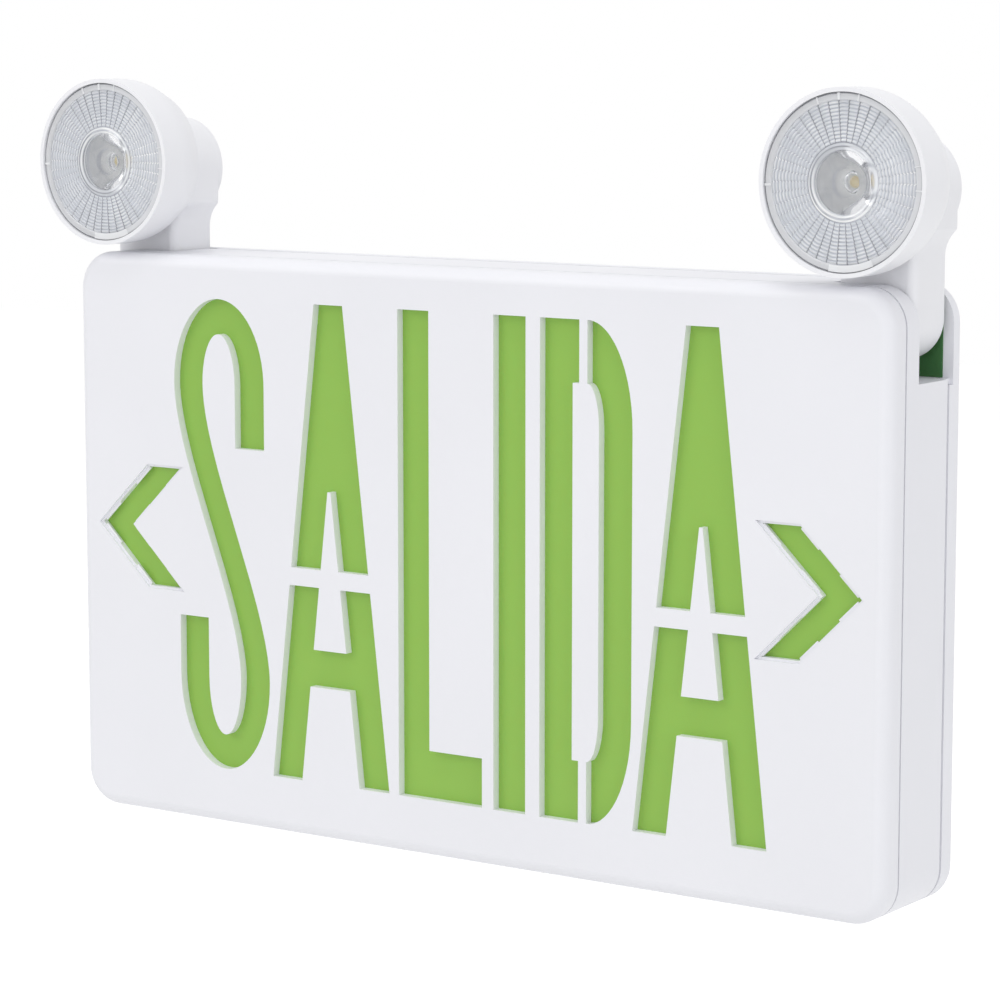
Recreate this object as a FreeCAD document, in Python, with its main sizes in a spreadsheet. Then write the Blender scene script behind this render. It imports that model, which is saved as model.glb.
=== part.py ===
"""Emergency exit light: a lit word sign with two lamp heads on swinging arms.

The part is modelled in millimetres in its own frame. The origin is the centre of the back face that
lies on the wall, +Z is up, +X is right as seen from the front, and the sign faces -Y. Depths are
measured forward from the wall, so a depth of d is the plane y = -d. Places are written as
expressions on the sheet's names, and each is bound to the object that it places.
"""

import math
import os
import re

import FreeCAD
import Part
import Sketcher

# Every size that can be set by itself: name, value in millimetres, what it is.
SIZES = [
    # casing
    ("width", 302.0, "casing width"),
    ("height", 184.0, "casing height"),
    ("depth", 42.0, "casing depth, wall to sign face"),
    ("corner_radius", 12.0, "casing corners seen from the front"),
    ("edge_radius", 4.0, "rounding of the sign face's edge"),
    ("back_edge_radius", 1.5, "rounding of the back cover's edge"),
    ("face_wall", 2.9, "thickness of the sign face"),
    ("side_wall", 2.4, "thickness of the casing's side walls"),
    ("back_wall", 2.6, "thickness of the back cover's plate"),
    ("front_cover_depth", 8.2, "depth of the front cover"),
    ("back_cover_depth", 7.0, "depth of the back cover"),
    ("front_seam", 0.8, "groove between front cover and frame"),
    ("back_seam", 1.2, "groove between frame and back cover"),
    ("tongue_wall", 1.2, "thickness of the locating tongues"),
    ("tongue_reach", 2.6, "how far a tongue reaches past its groove"),
    ("fit_gap", 0.15, "gap round a piece that is held still"),
    # word
    ("word_height", 152.4, "height of the capital letters"),
    ("word_rise", 2.5, "word's middle above the casing's middle"),
    ("stroke", 11.8, "width of an upright stroke"),
    ("s_x", -92.0, "middle of the S's upper bowl"),
    ("s_shift", 1.5, "lower bowl's offset from the upper one"),
    ("s_half", 18.4, "half the S's width"),
    ("s_upper", 27.4, "height of the S's upper bowl"),
    ("s_lower", 30.0, "height of the S's lower bowl"),
    ("s_cap", 11.3, "S stroke at its top and bottom"),
    ("s_hook_high", 47.6, "reach down of the S's upper hook"),
    ("s_hook_low", 49.0, "reach up of the S's lower hook"),
    ("s_pull", 24.8, "how long the S's middle stays upright"),
    ("a_first_x", -47.8, "middle of the first A"),
    ("a_last_x", 88.9, "middle of the last A"),
    ("a_top", 11.2, "width of an A at its top"),
    ("a_foot", 46.4, "width of an A at its feet"),
    ("a_notch", 1.2, "width of the space inside the A at its top"),
    ("a_bridge", 62.8, "bottom of the A's bridge"),
    ("a_bridge_wall", 5.7, "height of the A's bridge"),
    ("a_bar", 30.8, "bottom of the A's crossbar"),
    ("a_bar_wall", 12.0, "height of the A's crossbar"),
    ("l_x", -20.9, "left side of the L"),
    ("l_width", 31.7, "width of the L"),
    ("l_foot", 15.5, "height of the L's foot"),
    ("i_x", 15.1, "left side of the I"),
    ("d_x", 32.1, "left side of the D"),
    ("d_width", 33.0, "width of the D"),
    ("d_serif", 2.3, "how much the D's upright widens at its ends"),
    ("d_bridge", 2.9, "gap between the D's upright and its bowl"),
    ("d_cap", 19.0, "D stroke at its top and bottom"),
    ("d_curve", 32.4, "height of the D's outer curves"),
    ("d_inner_curve", 13.5, "height of the D's inner curves"),
    # arrows
    ("arrow_tip", 143.2, "arrow's tip from the middle"),
    ("arrow_rise", 3.2, "arrows above the casing's middle"),
    ("arrow_half", 20.4, "half the arrow's height"),
    ("arrow_sweep", 21.0, "how far a limb leans back"),
    ("arrow_limb", 15.0, "width of a limb, level"),
    ("arrow_margin", 0.8, "width of the step round an arrow"),
    ("arrow_step", 0.9, "depth of the step round an arrow"),
    # light box
    ("diffuser_wall", 1.6, "thickness of the green diffuser"),
    ("diffuser_rim", 3.0, "depth of the diffuser's rim"),
    ("room_gap", 0.6, "gap round diffuser and tray"),
    ("tray_wall", 1.2, "thickness of the light tray"),
    ("strip_length", 220.0, "length of a sign light board"),
    ("strip_width", 8.0, "width of a sign light board"),
    ("strip_wall", 1.2, "thickness of a sign light board"),
    ("strip_rise", 38.0, "sign light boards above and below middle"),
    ("chip_size", 3.0, "side of a sign light"),
    ("chip_wall", 1.0, "height of a sign light"),
    ("chip_pitch", 18.0, "pitch of the sign lights"),
    # arm slots and arms
    ("bulkhead", 25.8, "depth of the wall that carries the arms"),
    ("bulkhead_wall", 2.0, "thickness of that wall"),
    ("slot_side", 28.2, "arm slot's inner side from the casing's side"),
    ("slot_drop", 28.0, "arm slot's floor down from the casing's top"),
    ("slot_back", 4.8, "depth at the back of an arm slot"),
    ("slot_wall", 1.6, "thickness of the arm slot's walls"),
    ("pivot_side", 12.2, "arm pivot in from the casing's side"),
    ("pivot_drop", 10.4, "arm pivot down from the casing's top"),
    ("arm_inset", 2.5, "arm's middle inward of its pivot"),
    ("neck_width", 24.9, "width of the arm's neck"),
    ("neck_back", 6.8, "depth of the neck's back face"),
    ("arm_front", 25.0, "depth of the arm's front face"),
    ("arm_cover_wall", 1.6, "thickness of the arm's back cover"),
    ("arm_wall", 2.0, "thickness of the arm's walls"),
    ("arm_edge", 2.6, "rounding of the arm's front edge"),
    ("hub_radius", 16.2, "radius of the arm's hub"),
    ("hub_rise", 37.1, "hub's middle above the arm pivot"),
    ("hub_back", 4.4, "depth of the hub's back face"),
    ("hub_mouth", 11.0, "radius of the opening in the hub's front"),
    ("flare_low", 17.7, "flare's lower end above the arm pivot"),
    ("flare_radius", 10.0, "hollow curve of the flare"),
    ("flare_corner", 2.0, "rounding where the flare meets the hub"),
    ("pivot_radius", 4.5, "radius of the arm's pivot tube"),
    ("pivot_bore", 3.0, "radius of the wire way in the pivot tube"),
    ("pivot_flange", 7.0, "radius of the pivot tube's flange"),
    ("pivot_flange_wall", 1.6, "thickness of the pivot tube's flange"),
    ("nut_wall", 2.6, "thickness of the pivot's nut"),
    ("washer_radius", 8.0, "radius of the arm's friction washer"),
    ("run_gap", 0.05, "running gap round a pin or tube"),
    # lamp hinge
    ("lamp_rise", 39.8, "lamp axis above the arm pivot"),
    ("hinge_depth", 15.2, "depth of the lamp's turning centre"),
    ("yoke_wall", 2.4, "thickness of the yoke's frame"),
    ("yoke_thick", 8.0, "yoke's size from back to front"),
    ("yoke_space", 11.0, "height of the space inside the yoke"),
    ("yoke_pin", 2.2, "radius of the yoke's upright pins"),
    ("yoke_pin_reach", 3.0, "how far an upright pin enters its seat"),
    ("tilt_pin", 1.6, "radius of the tilt pin"),
    ("eye_radius", 3.6, "radius of the eye on the tilt pin"),
    ("stem_width", 8.0, "width of the lamp's stem"),
    ("stem_height", 5.6, "height of the lamp's stem"),
    ("stem_flange", 10.0, "radius of the stem's flange"),
    ("stem_flange_wall", 1.8, "thickness of the stem's flange"),
    ("side_gap", 0.3, "gap beside a piece that turns"),
    # lamp head
    ("cup_radius", 26.7, "radius of a lamp cup"),
    ("cup_tail_radius", 23.3, "radius of a lamp cup at its back"),
    ("cup_front", 46.0, "depth of a lamp cup's rim"),
    ("cup_shoulder", 33.5, "depth where a cup starts to narrow"),
    ("cup_back", 25.4, "depth of a lamp cup's back edge"),
    ("cup_floor", 31.6, "depth of a lamp cup's inner floor"),
    ("cup_floor_wall", 1.8, "thickness of a cup's floor"),
    ("cup_wall", 1.3, "thickness of a cup's rim"),
    ("cup_round", 18.0, "rounding of a cup's shoulder"),
    ("dish_mouth", 20.5, "radius of the hollow in a cup's back"),
    ("dish_floor", 14.0, "radius of that hollow at its floor"),
    ("notch_gap", 2.0, "room beside the neck in a cup's back"),
    ("lens_wall", 1.6, "thickness of a lamp lens"),
    ("lens_inset", 0.8, "lens face behind the cup's rim"),
    ("lens_ledge", 1.4, "width of the ledge under the lens"),
    ("lens_band", 2.6, "plain border of a lamp lens"),
    ("lens_relief", 0.5, "height of the lens's ribbed ring"),
    ("optic_radius", 10.6, "radius of the middle optic"),
    ("optic_base", 4.2, "radius of the middle optic's base"),
    ("sink_radius", 17.0, "radius of a lamp's heat sink"),
    ("sink_wall", 2.0, "thickness of a lamp's heat sink"),
    ("lamp_board_radius", 10.0, "radius of a lamp's board"),
    ("lamp_board_wall", 1.4, "thickness of a lamp's board"),
    ("emitter_size", 3.4, "side of a lamp's emitter"),
    ("emitter_wall", 0.8, "height of a lamp's emitter"),
    # electronics
    ("board_width", 104.0, "width of the control board"),
    ("board_height", 58.0, "height of the control board"),
    ("board_wall", 1.6, "thickness of the control board"),
    ("board_x", -48.0, "middle of the control board"),
    ("board_rise", 50.0, "control board's middle above the bottom"),
    ("post_radius", 3.2, "radius of the control board's posts"),
    ("post_height", 4.5, "height of the control board's posts"),
    ("post_inset", 5.0, "posts in from the control board's edges"),
    ("transformer_x", 32.0, "transformer's middle from the board's left edge"),
    ("transformer_drop", 3.0, "transformer's middle below the board's middle"),
    ("transformer_width", 30.0, "width of the transformer"),
    ("transformer_height", 26.0, "height of the transformer"),
    ("transformer_thick", 14.0, "thickness of the transformer"),
    ("relay_x", 66.0, "relay's middle from the board's left edge"),
    ("relay_drop", 9.0, "relay's middle below the board's middle"),
    ("relay_width", 20.0, "width of the changeover relay"),
    ("relay_height", 15.0, "height of the changeover relay"),
    ("relay_thick", 11.0, "thickness of the changeover relay"),
    ("capacitor_x", 86.0, "capacitors from the board's left edge"),
    ("capacitor_radius", 4.0, "radius of a capacitor"),
    ("capacitor_length", 12.5, "length of a capacitor"),
    ("capacitor_pitch", 11.0, "pitch of the capacitors"),
    ("terminal_x", 60.0, "terminals' middle from the board's left edge"),
    ("terminal_drop", 9.0, "terminals' middle below the board's top"),
    ("terminal_width", 24.0, "width of the supply terminals"),
    ("terminal_height", 10.0, "height of the supply terminals"),
    ("terminal_thick", 11.0, "thickness of the supply terminals"),
    ("cell_radius", 7.2, "radius of a battery cell"),
    ("cell_length", 50.0, "length of a battery cell"),
    ("cell_gap", 0.3, "gap between battery cells"),
    ("battery_x", 62.0, "middle of the battery"),
    ("battery_rise", 46.0, "battery's middle above the bottom"),
    ("clip_wall", 1.2, "thickness of the battery clip"),
    ("clip_width", 14.0, "width of the battery clip"),
    # test button and charge light
    ("button_x", -62.0, "middle of the test button"),
    ("button_depth", 19.0, "depth of the test button's axis"),
    ("button_radius", 4.0, "radius of the test button"),
    ("button_recess", 0.5, "button's face in from the casing's bottom"),
    ("button_flange", 5.4, "radius of the test button's flange"),
    ("button_flange_wall", 1.2, "thickness of the test button's flange"),
    ("button_stem", 1.6, "radius of the test button's stem"),
    ("button_travel", 1.0, "travel of the test button"),
    ("spring_length", 5.6, "length of the button's spring at rest"),
    ("spring_radius", 2.9, "coil radius of the button's spring"),
    ("spring_wire", 0.35, "radius of the spring's wire"),
    ("spring_pitch", 1.6, "pitch of the spring's coils"),
    ("switch_width", 12.0, "width of the test switch"),
    ("switch_height", 6.0, "height of the test switch"),
    ("light_x", -44.0, "middle of the charge light"),
    ("light_radius", 2.0, "radius of the charge light"),
    ("light_length", 7.0, "length of the charge light's rod"),
    ("charge_lamp_radius", 2.5, "radius of the charge lamp"),
    ("test_board_width", 34.0, "width of the test board"),
    # fasteners and wall fixing
    ("screw_radius", 1.5, "radius of a casing screw"),
    ("screw_head", 3.0, "radius of a casing screw's head"),
    ("screw_head_wall", 1.4, "thickness of a casing screw's head"),
    ("screw_sink", 0.2, "casing screws' heads in from the wall face"),
    ("screw_length", 12.0, "length of a casing screw's shank"),
    ("screw_low_side", 14.0, "lower casing screws in from the sides"),
    ("screw_high_side", 47.0, "upper casing screws in from the sides"),
    ("screw_inset", 12.0, "casing screws in from top and bottom"),
    ("boss_radius", 3.8, "radius of the bosses for casing screws"),
    ("small_screw", 1.1, "radius of a board screw"),
    ("small_screw_head", 2.2, "radius of a board screw's head"),
    ("small_screw_head_wall", 1.2, "thickness of a board screw's head"),
    ("small_screw_length", 5.0, "length of a board screw's shank"),
    ("screw_room", 0.5, "room in a hole past the end of its screw"),
    ("entry_radius", 11.1, "radius of the supply entry in the back"),
    ("entry_rise", 0.0, "supply entry above the casing's middle"),
    ("bushing_wall", 2.4, "wall of the supply entry's bushing"),
    ("bushing_flange", 1.5, "thickness and reach of the bushing's flange"),
    ("bushing_reach", 3.0, "how far the bushing stands inside"),
    ("box_pitch", 88.9, "pitch of the holes for a wall box"),
    ("box_hole", 2.4, "radius of the holes for a wall box"),
    ("keyhole_pitch", 190.0, "pitch of the keyholes for wall screws"),
    ("keyhole_rise", 40.0, "keyholes above the casing's middle"),
    ("keyhole_head", 4.5, "radius of a keyhole's round end"),
    ("keyhole_neck", 2.3, "half the width of a keyhole's neck"),
    ("keyhole_length", 9.0, "length of a keyhole's neck"),
]

NAMES = re.compile(r"(?<![\w.])(" + "|".join(name for name, _, _ in SIZES) + r")(?![\w])")

# Places that several pieces share.
FRAME_BACK = "(back_cover_depth + back_seam)"
FRAME_FRONT = "(depth - front_cover_depth - front_seam)"
COVER_BACK = "(depth - front_cover_depth)"
FACE_BACK = "(depth - face_wall)"
LIGHT_BACK = "(bulkhead + bulkhead_wall)"
WORD_FOOT = "(word_rise - word_height / 2)"
PIVOT_X = "(width / 2 - pivot_side)"
PIVOT_Z = "(height / 2 - pivot_drop)"
ARM_X = "(width / 2 - pivot_side - arm_inset)"
LAMP_Z = "(height / 2 - pivot_drop + lamp_rise)"
SEAM = "(neck_back + arm_cover_wall)"
YOKE_HALF = "(yoke_space / 2 + yoke_wall)"
YOKE_WIDTH = "(stem_width + 2 * side_gap + 2 * yoke_wall)"
DISH_DEPTH = "(cup_floor - cup_floor_wall)"
SINK_FRONT = "(cup_floor + stem_flange_wall + sink_wall)"
EMITTER_BACK = "(cup_floor + stem_flange_wall + sink_wall + lamp_board_wall)"
LENS_BACK = "(cup_front - lens_inset - lens_wall)"
LENS_RADIUS = "(cup_radius - cup_wall - fit_gap)"
SLOT_X = "(width / 2 - slot_side)"
SLOT_Z = "(height / 2 - slot_drop)"
FLOOR_TOP = "(-height / 2 + side_wall)"
SPRING_FOOT = "(-height / 2 + side_wall + button_flange_wall)"
SWITCH_FOOT = "(-height / 2 + side_wall + button_flange_wall + spring_length)"
BOARD_Z = "(-height / 2 + board_rise)"
BOARD_FRONT = "(bulkhead - post_height)"
BOARD_BACK = "(bulkhead - post_height - board_wall)"
BATTERY_Z = "(-height / 2 + battery_rise)"
SIDES = (("left", -1), ("right", 1))

doc = FreeCAD.newDocument("ExitLight")
sheet = doc.addObject("Spreadsheet::Sheet", "Sizes")
nodes = []


def fill_sheet():
    """Writes every size to a cell of its own and names the cell."""
    for row, (name, value, meaning) in enumerate(SIZES, start=1):
        sheet.set(f"A{row}", meaning)
        sheet.set(f"B{row}", str(value))
        sheet.setAlias(f"B{row}", name)
    doc.recompute()


def on_sheet(expression):
    """The expression with each size's name pointed at the sheet."""
    return NAMES.sub(r"Sizes.\1", str(expression))


def value(expression):
    """What an expression comes to, for shapes that code draws."""
    return float(sheet.evalExpression(on_sheet(expression)))


def bind(item, **expressions):
    """Binds properties to expressions; X, Y and Z stand for the place."""
    for name, expression in expressions.items():
        path = f"Placement.Base.{name.lower()}" if name in ("X", "Y", "Z") else name
        item.setExpression(path, on_sheet(expression))
    return item


def node(item, label):
    """Marks an object as a sub-part of its own."""
    item.Label = label
    nodes.append(item)
    return item


# ---- solids ----


def block(name, x, z, back, wide, high, thick):
    """A box centred on x and z that reaches forward from its back face's depth."""
    item = doc.addObject("Part::Box", name)
    bind(item, Length=wide, Width=thick, Height=high)
    return bind(item, X=f"{x} - ({wide}) / 2", Y=f"-({back}) - ({thick})", Z=f"{z} - ({high}) / 2")


def rod(name, x, z, back, radius, length):
    """A cylinder along the depth that reaches forward from its back face's depth."""
    item = doc.addObject("Part::Cylinder", name)
    item.Placement.Rotation = FreeCAD.Rotation(FreeCAD.Vector(1, 0, 0), 90)
    bind(item, Radius=radius, Height=length)
    return bind(item, X=x, Y=f"-({back})", Z=z)


def post(name, x, at_depth, foot, radius, length):
    """An upright cylinder."""
    item = doc.addObject("Part::Cylinder", name)
    bind(item, Radius=radius, Height=length)
    return bind(item, X=x, Y=f"-({at_depth})", Z=foot)


def fuse(name, *items):
    """The items as one solid."""
    item = doc.addObject("Part::MultiFuse", name)
    item.Shapes = list(items)
    item.Refine = True
    return item


def cut(name, base, *tools):
    """The base less all of the tools."""
    item = doc.addObject("Part::Cut", name)
    item.Base = base
    item.Tool = tools[0] if len(tools) == 1 else group(f"{name}_tools", *tools)
    item.Refine = True
    return item


def group(name, *items):
    """Separate items that share one object."""
    item = doc.addObject("Part::Compound", name)
    item.Links = list(items)
    return item


def drawn(name, shape):
    """An object whose shape is drawn by code from the sheet's sizes."""
    item = doc.addObject("Part::Feature", name)
    item.Shape = shape
    return item


# ---- sketched bodies ----


def plane(body, role):
    """One of a body's own origin planes."""
    return next(item for item in body.Origin.OriginFeatures if item.Role == role)


def sketch(body, name, role, start, path):
    """A closed outline, drawn anticlockwise, whose every corner is bound to the sheet.

    Each step of the path is (x, y) for a straight side to that corner, or
    (x, y, radius, "out" or "in") for an arc to it that swells or is hollow.
    """
    item = body.newObject("Sketcher::SketchObject", name)
    item.AttachmentSupport = [(plane(body, role), "")]
    item.MapMode = "FlatFace"
    item.setExpression("AttachmentOffset.Base.z", on_sheet(start))
    corners = [FreeCAD.Vector(value(step[0]), value(step[1]), 0) for step in path]
    for number, step in enumerate(path):
        before, here = corners[number - 1], corners[number]
        if len(step) == 2:
            item.addGeometry(Part.LineSegment(before, here))
        else:
            item.addGeometry(Part.Arc(before, arc_middle(before, here, value(step[2]), step[3]), here))
    ends = [end_at(item, number, corners[number]) for number in range(len(path))]
    for number, step in enumerate(path):
        after = (number + 1) % len(path)
        item.addConstraint(Sketcher.Constraint(
            "Coincident", number, ends[number], after, 3 - ends[after]))
        for kind, expression, place in (
                ("DistanceX", step[0], corners[number].x), ("DistanceY", step[1], corners[number].y)):
            row = item.addConstraint(Sketcher.Constraint(
                kind, -1, 1, number, ends[number], place))
            item.setExpression(f"Constraints[{row}]", on_sheet(expression))
        if len(step) == 4:
            row = item.addConstraint(Sketcher.Constraint("Radius", number, value(step[2])))
            item.setExpression(f"Constraints[{row}]", on_sheet(step[2]))
    return item


def arc_middle(before, here, radius, swells):
    """The middle of the short arc between two places."""
    chord = here - before
    rise = radius - math.sqrt(radius ** 2 - (chord.Length / 2) ** 2)
    outward = FreeCAD.Vector(chord.y, -chord.x, 0).normalize()
    return (before + here) / 2 + outward * (rise if swells == "out" else -rise)


def end_at(item, number, place):
    """Which end of a side of a sketch, 1 or 2, lies at a place."""
    return min((1, 2), key=lambda end: item.getPoint(number, end).distanceToPoint(place))


def rectangle(x, y, wide, high):
    """The corners of a rectangle centred on x and y."""
    left, right = f"{x} - ({wide}) / 2", f"{x} + ({wide}) / 2"
    low, high_side = f"{y} - ({high}) / 2", f"{y} + ({high}) / 2"
    return [(left, low), (right, low), (right, high_side), (left, high_side)]


def pad(name, start, length, path):
    """A body raised forward from an outline seen from the front."""
    body = doc.addObject("PartDesign::Body", name)
    item = body.newObject("PartDesign::Pad", f"{name}_pad")
    item.Profile = sketch(body, f"{name}_outline", "XZ_Plane", start, path)
    bind(item, Length=length)
    body.Tip = item
    doc.recompute()
    return body


def hollow(body, name, start, length, path):
    """A pocket cut forward into a body."""
    before = body.Tip.Shape.Volume
    item = body.newObject("PartDesign::Pocket", name)
    item.Profile = sketch(body, f"{name}_outline", "XZ_Plane", start, path)
    item.Reversed = True
    bind(item, Length=length)
    body.Tip = item
    doc.recompute()
    if item.Shape.Volume >= before:
        raise RuntimeError(f"{name} cuts nothing")
    return body


def spin(name, path):
    """A body turned about the depth axis from (radius, depth) corners."""
    body = doc.addObject("PartDesign::Body", name)
    item = body.newObject("PartDesign::Revolution", f"{name}_turn")
    profile = sketch(body, f"{name}_profile", "XY_Plane", "0", [(r, f"-({d})") for r, d in path])
    item.Profile = profile
    item.ReferenceAxis = (profile, ["V_Axis"])
    item.Angle = 360
    body.Tip = item
    doc.recompute()
    return body


def round_edges(body, name, radius, wanted):
    """Rounds the edges of a body that pass a test."""
    base = body.Tip
    edges = [f"Edge{n}" for n, edge in enumerate(base.Shape.Edges, start=1) if wanted(edge)]
    item = body.newObject("PartDesign::Fillet", name)
    item.Base = (base, edges)
    bind(item, Radius=radius)
    body.Tip = item
    doc.recompute()
    return body


def runs_deep(edge):
    """Whether an edge is straight and runs along the depth."""
    size = edge.BoundBox
    return size.YLength > 0.5 and size.XLength < 1e-6 and size.ZLength < 1e-6


def lies_at(at_depth):
    """A test for edges that lie in the plane of a depth."""
    place = -value(at_depth)
    return lambda edge: abs(edge.BoundBox.YMin - place) < 1e-4 and abs(edge.BoundBox.YMax - place) < 1e-4


def rounded(name, inset, start, length):
    """A slab with the casing's outline, inset all round."""
    outline = rectangle("0", "0", f"width - 2 * ({inset})", f"height - 2 * ({inset})")
    body = pad(name, start, length, outline)
    return round_edges(body, f"{name}_corners", f"corner_radius - ({inset})", runs_deep)


def ring(name, outer, inner, start, length):
    """A band that follows the casing's outline between two insets."""
    outside = rounded(f"{name}_outside", outer, start, length)
    inside = rounded(f"{name}_inside", inner, start, length)
    return cut(name, outside, inside)


# ---- drawn outlines for the word ----


class Outline:
    """A closed outline seen from the front, in the word's own millimetres."""

    CIRCLE = 0.5523  # handle length that makes a quarter of an ellipse

    def __init__(self, x, z):
        self.start = self.here = (x, z)
        self.edges = []

    def line(self, x, z):
        """A straight side."""
        if math.dist(self.here, (x, z)) > 1e-6:
            self.edges.append(Part.makeLine(self._place(*self.here), self._place(x, z)))
        self.here = (x, z)
        return self

    def bend(self, x, z, leaves):
        """A quarter of an ellipse that leaves upright or level."""
        x0, z0 = self.here
        if leaves == "upright":
            first, second = (x0, z0 + (z - z0) * self.CIRCLE), (x - (x - x0) * self.CIRCLE, z)
        else:
            first, second = (x0 + (x - x0) * self.CIRCLE, z0), (x, z - (z - z0) * self.CIRCLE)
        return self._curve(first, second, (x, z))

    def lean(self, x, z, pull):
        """A curve that leaves and arrives upright."""
        x0, z0 = self.here
        way = math.copysign(pull, z - z0)
        return self._curve((x0, z0 + way), (x, z - way), (x, z))

    def _curve(self, first, second, last):
        curve = Part.BezierCurve()
        curve.setPoles([self._place(*place) for place in (self.here, first, second, last)])
        self.edges.append(curve.toShape())
        self.here = last
        return self

    @staticmethod
    def _place(x, z):
        return FreeCAD.Vector(x, 0, z + value(WORD_FOOT))

    def through(self, back, front):
        """The outline as a solid between two depths."""
        self.line(*self.start)
        face = Part.Face(Part.Wire(self.edges))
        face.translate(FreeCAD.Vector(0, -value(back), 0))
        return face.extrude(FreeCAD.Vector(0, value(back) - value(front), 0))


def word_solid(outline):
    """A letter's outline carried right through the sign face."""
    return outline.through(f"{FACE_BACK} - 1", "depth + 1")


def bar(x, z, wide, high):
    """An upright rectangle of the word."""
    return word_solid(Outline(x, z).line(x + wide, z).line(x + wide, z + high).line(x, z + high))


def letter_s():
    """Two bowls with hooks, joined by a leaning stroke."""
    top, foot, cap = value("word_height"), 0.0, value("s_cap")
    high_x, low_x = value("s_x"), value("s_x + s_shift")
    half, inner = value("s_half"), value("s_half - stroke")
    high_z, low_z = value("word_height - s_upper"), value("s_lower")
    high_end, low_end = value("word_height - s_hook_high"), value("s_hook_low")
    pull = value("s_pull")
    shape = Outline(high_x + half, high_end).line(high_x + half, high_z)
    shape.bend(high_x, top, "upright").bend(high_x - half, high_z, "level")
    shape.lean(low_x - inner + 2 * inner, low_z, pull)
    shape.bend(low_x, foot + cap, "upright").bend(low_x - inner, low_z, "level")
    shape.line(low_x - inner, low_end).line(low_x - half, low_end).line(low_x - half, low_z)
    shape.bend(low_x, foot, "upright").bend(low_x + half, low_z, "level")
    shape.lean(high_x - inner, high_z, pull)
    shape.bend(high_x, top - cap, "upright").bend(high_x + inner, high_z, "level")
    shape.line(high_x + inner, high_end)
    return word_solid(shape)


def letter_a(middle):
    """Two leaning legs and a crossbar, with a bridge across the legs."""
    top = value("word_height")
    half_top, half_foot = value("a_top") / 2, value("a_foot") / 2
    slope = (half_foot - half_top) / top

    def inside(z):
        return half_foot - value("stroke") - slope * z

    legs = Outline(middle - half_foot, 0).line(middle + half_foot, 0)
    legs = word_solid(legs.line(middle + half_top, top).line(middle - half_top, top))
    notch = (half_foot - value("stroke + a_notch / 2")) / slope
    bar_low, bar_high = value("a_bar"), value("a_bar + a_bar_wall")
    space = Outline(middle - inside(bar_high), bar_high).line(middle + inside(bar_high), bar_high)
    space.line(middle + inside(notch), notch).line(middle - inside(notch), notch)
    gap = Outline(middle - inside(0), 0).line(middle + inside(0), 0)
    gap.line(middle + inside(bar_low), bar_low).line(middle - inside(bar_low), bar_low)
    bridge = bar(middle - half_foot, value("a_bridge"), 2 * half_foot, value("a_bridge_wall"))
    return legs.cut(word_solid(space)).cut(word_solid(gap)).cut(bridge)


def letter_l():
    """An upright with a foot."""
    left, wide = value("l_x"), value("stroke")
    upright = bar(left, 0, wide, value("word_height"))
    return upright.fuse(bar(left, 0, value("l_width"), value("l_foot"))).removeSplitter()


def letter_i():
    """One upright."""
    return bar(value("i_x"), 0, value("stroke"), value("word_height"))


def letter_d():
    """An upright that widens at its ends, and a bowl beside it."""
    left, top, cap = value("d_x"), value("word_height"), value("d_cap")
    serif = value("stroke + d_serif")
    upright = bar(left, 0, value("stroke"), top)
    upright = upright.fuse([bar(left, 0, serif, cap), bar(left, top - cap, serif, cap)])
    start, end = left + value("stroke + d_serif + d_bridge"), left + value("d_width")
    inner = end - value("stroke")
    curve, inner_curve = value("d_curve"), value("d_inner_curve")
    bowl = Outline(start, 0).bend(end, curve, "level").line(end, top - curve)
    bowl.bend(start, top, "upright").line(start, top - cap)
    bowl.bend(inner, top - cap - inner_curve, "level").line(inner, cap + inner_curve)
    bowl.bend(start, cap, "upright")
    return Part.makeCompound([upright.removeSplitter(), word_solid(bowl)])


def word():
    """All the letters of the sign."""
    letters = [letter_s(), letter_a(value("a_first_x")), letter_l(), letter_i(), letter_d()]
    return drawn("word", Part.makeCompound(letters + [letter_a(value("a_last_x"))]))


# ---- casing ----


def arrow(name, sign, inset, start, length):
    """An outward arrow without a shaft, inset from its outer step."""
    slope = f"arrow_sweep / arrow_half * (arrow_half - ({inset}))"
    tip, notch = f"arrow_tip - 1.42 * ({inset})", f"arrow_tip - arrow_limb + 1.42 * ({inset})"
    low, high = f"arrow_rise - arrow_half + ({inset})", f"arrow_rise + arrow_half - ({inset})"
    places = [(tip, "arrow_rise"), (f"{tip} - {slope}", high), (f"{notch} - {slope}", high),
              (notch, "arrow_rise"), (f"{notch} - {slope}", low), (f"{tip} - {slope}", low)]
    return pad(name, start, length, [(f"{sign} * ({x})", z) for x, z in places])


def make_front_cover():
    """The white shell with the sign face, and the word and arrows cut in it."""
    shell = rounded("cover_shell", "0", COVER_BACK, "front_cover_depth")
    round_edges(shell, "cover_edge", "edge_radius", lies_at("depth"))
    room = rounded("cover_room", "side_wall", COVER_BACK, "front_cover_depth - face_wall")
    rebate = rounded("cover_rebate", "side_wall - tongue_wall - fit_gap", COVER_BACK,
                     "tongue_reach + fit_gap")
    tools = [room, rebate, word()]
    for side, sign in SIDES:
        tools.append(arrow(f"arrow_step_{side}", sign, "0", "depth - arrow_step", "arrow_step + 1"))
        tools.append(arrow(f"arrow_cut_{side}", sign, "arrow_margin", f"{FACE_BACK} - 1", "face_wall + 2"))
    node(cut("front_cover", shell, *tools), "front_cover")


def make_diffuser():
    """The green sheet behind the sign face, with a rim all round."""
    outer, inner = "side_wall + room_gap", "side_wall + room_gap + diffuser_wall"
    sheet_slab = rounded("diffuser_slab", outer, f"{FACE_BACK} - diffuser_rim", "diffuser_rim")
    room = rounded("diffuser_room", inner, f"{FACE_BACK} - diffuser_rim", "diffuser_rim - diffuser_wall")
    node(cut("diffuser", sheet_slab, room), "diffuser")


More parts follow.
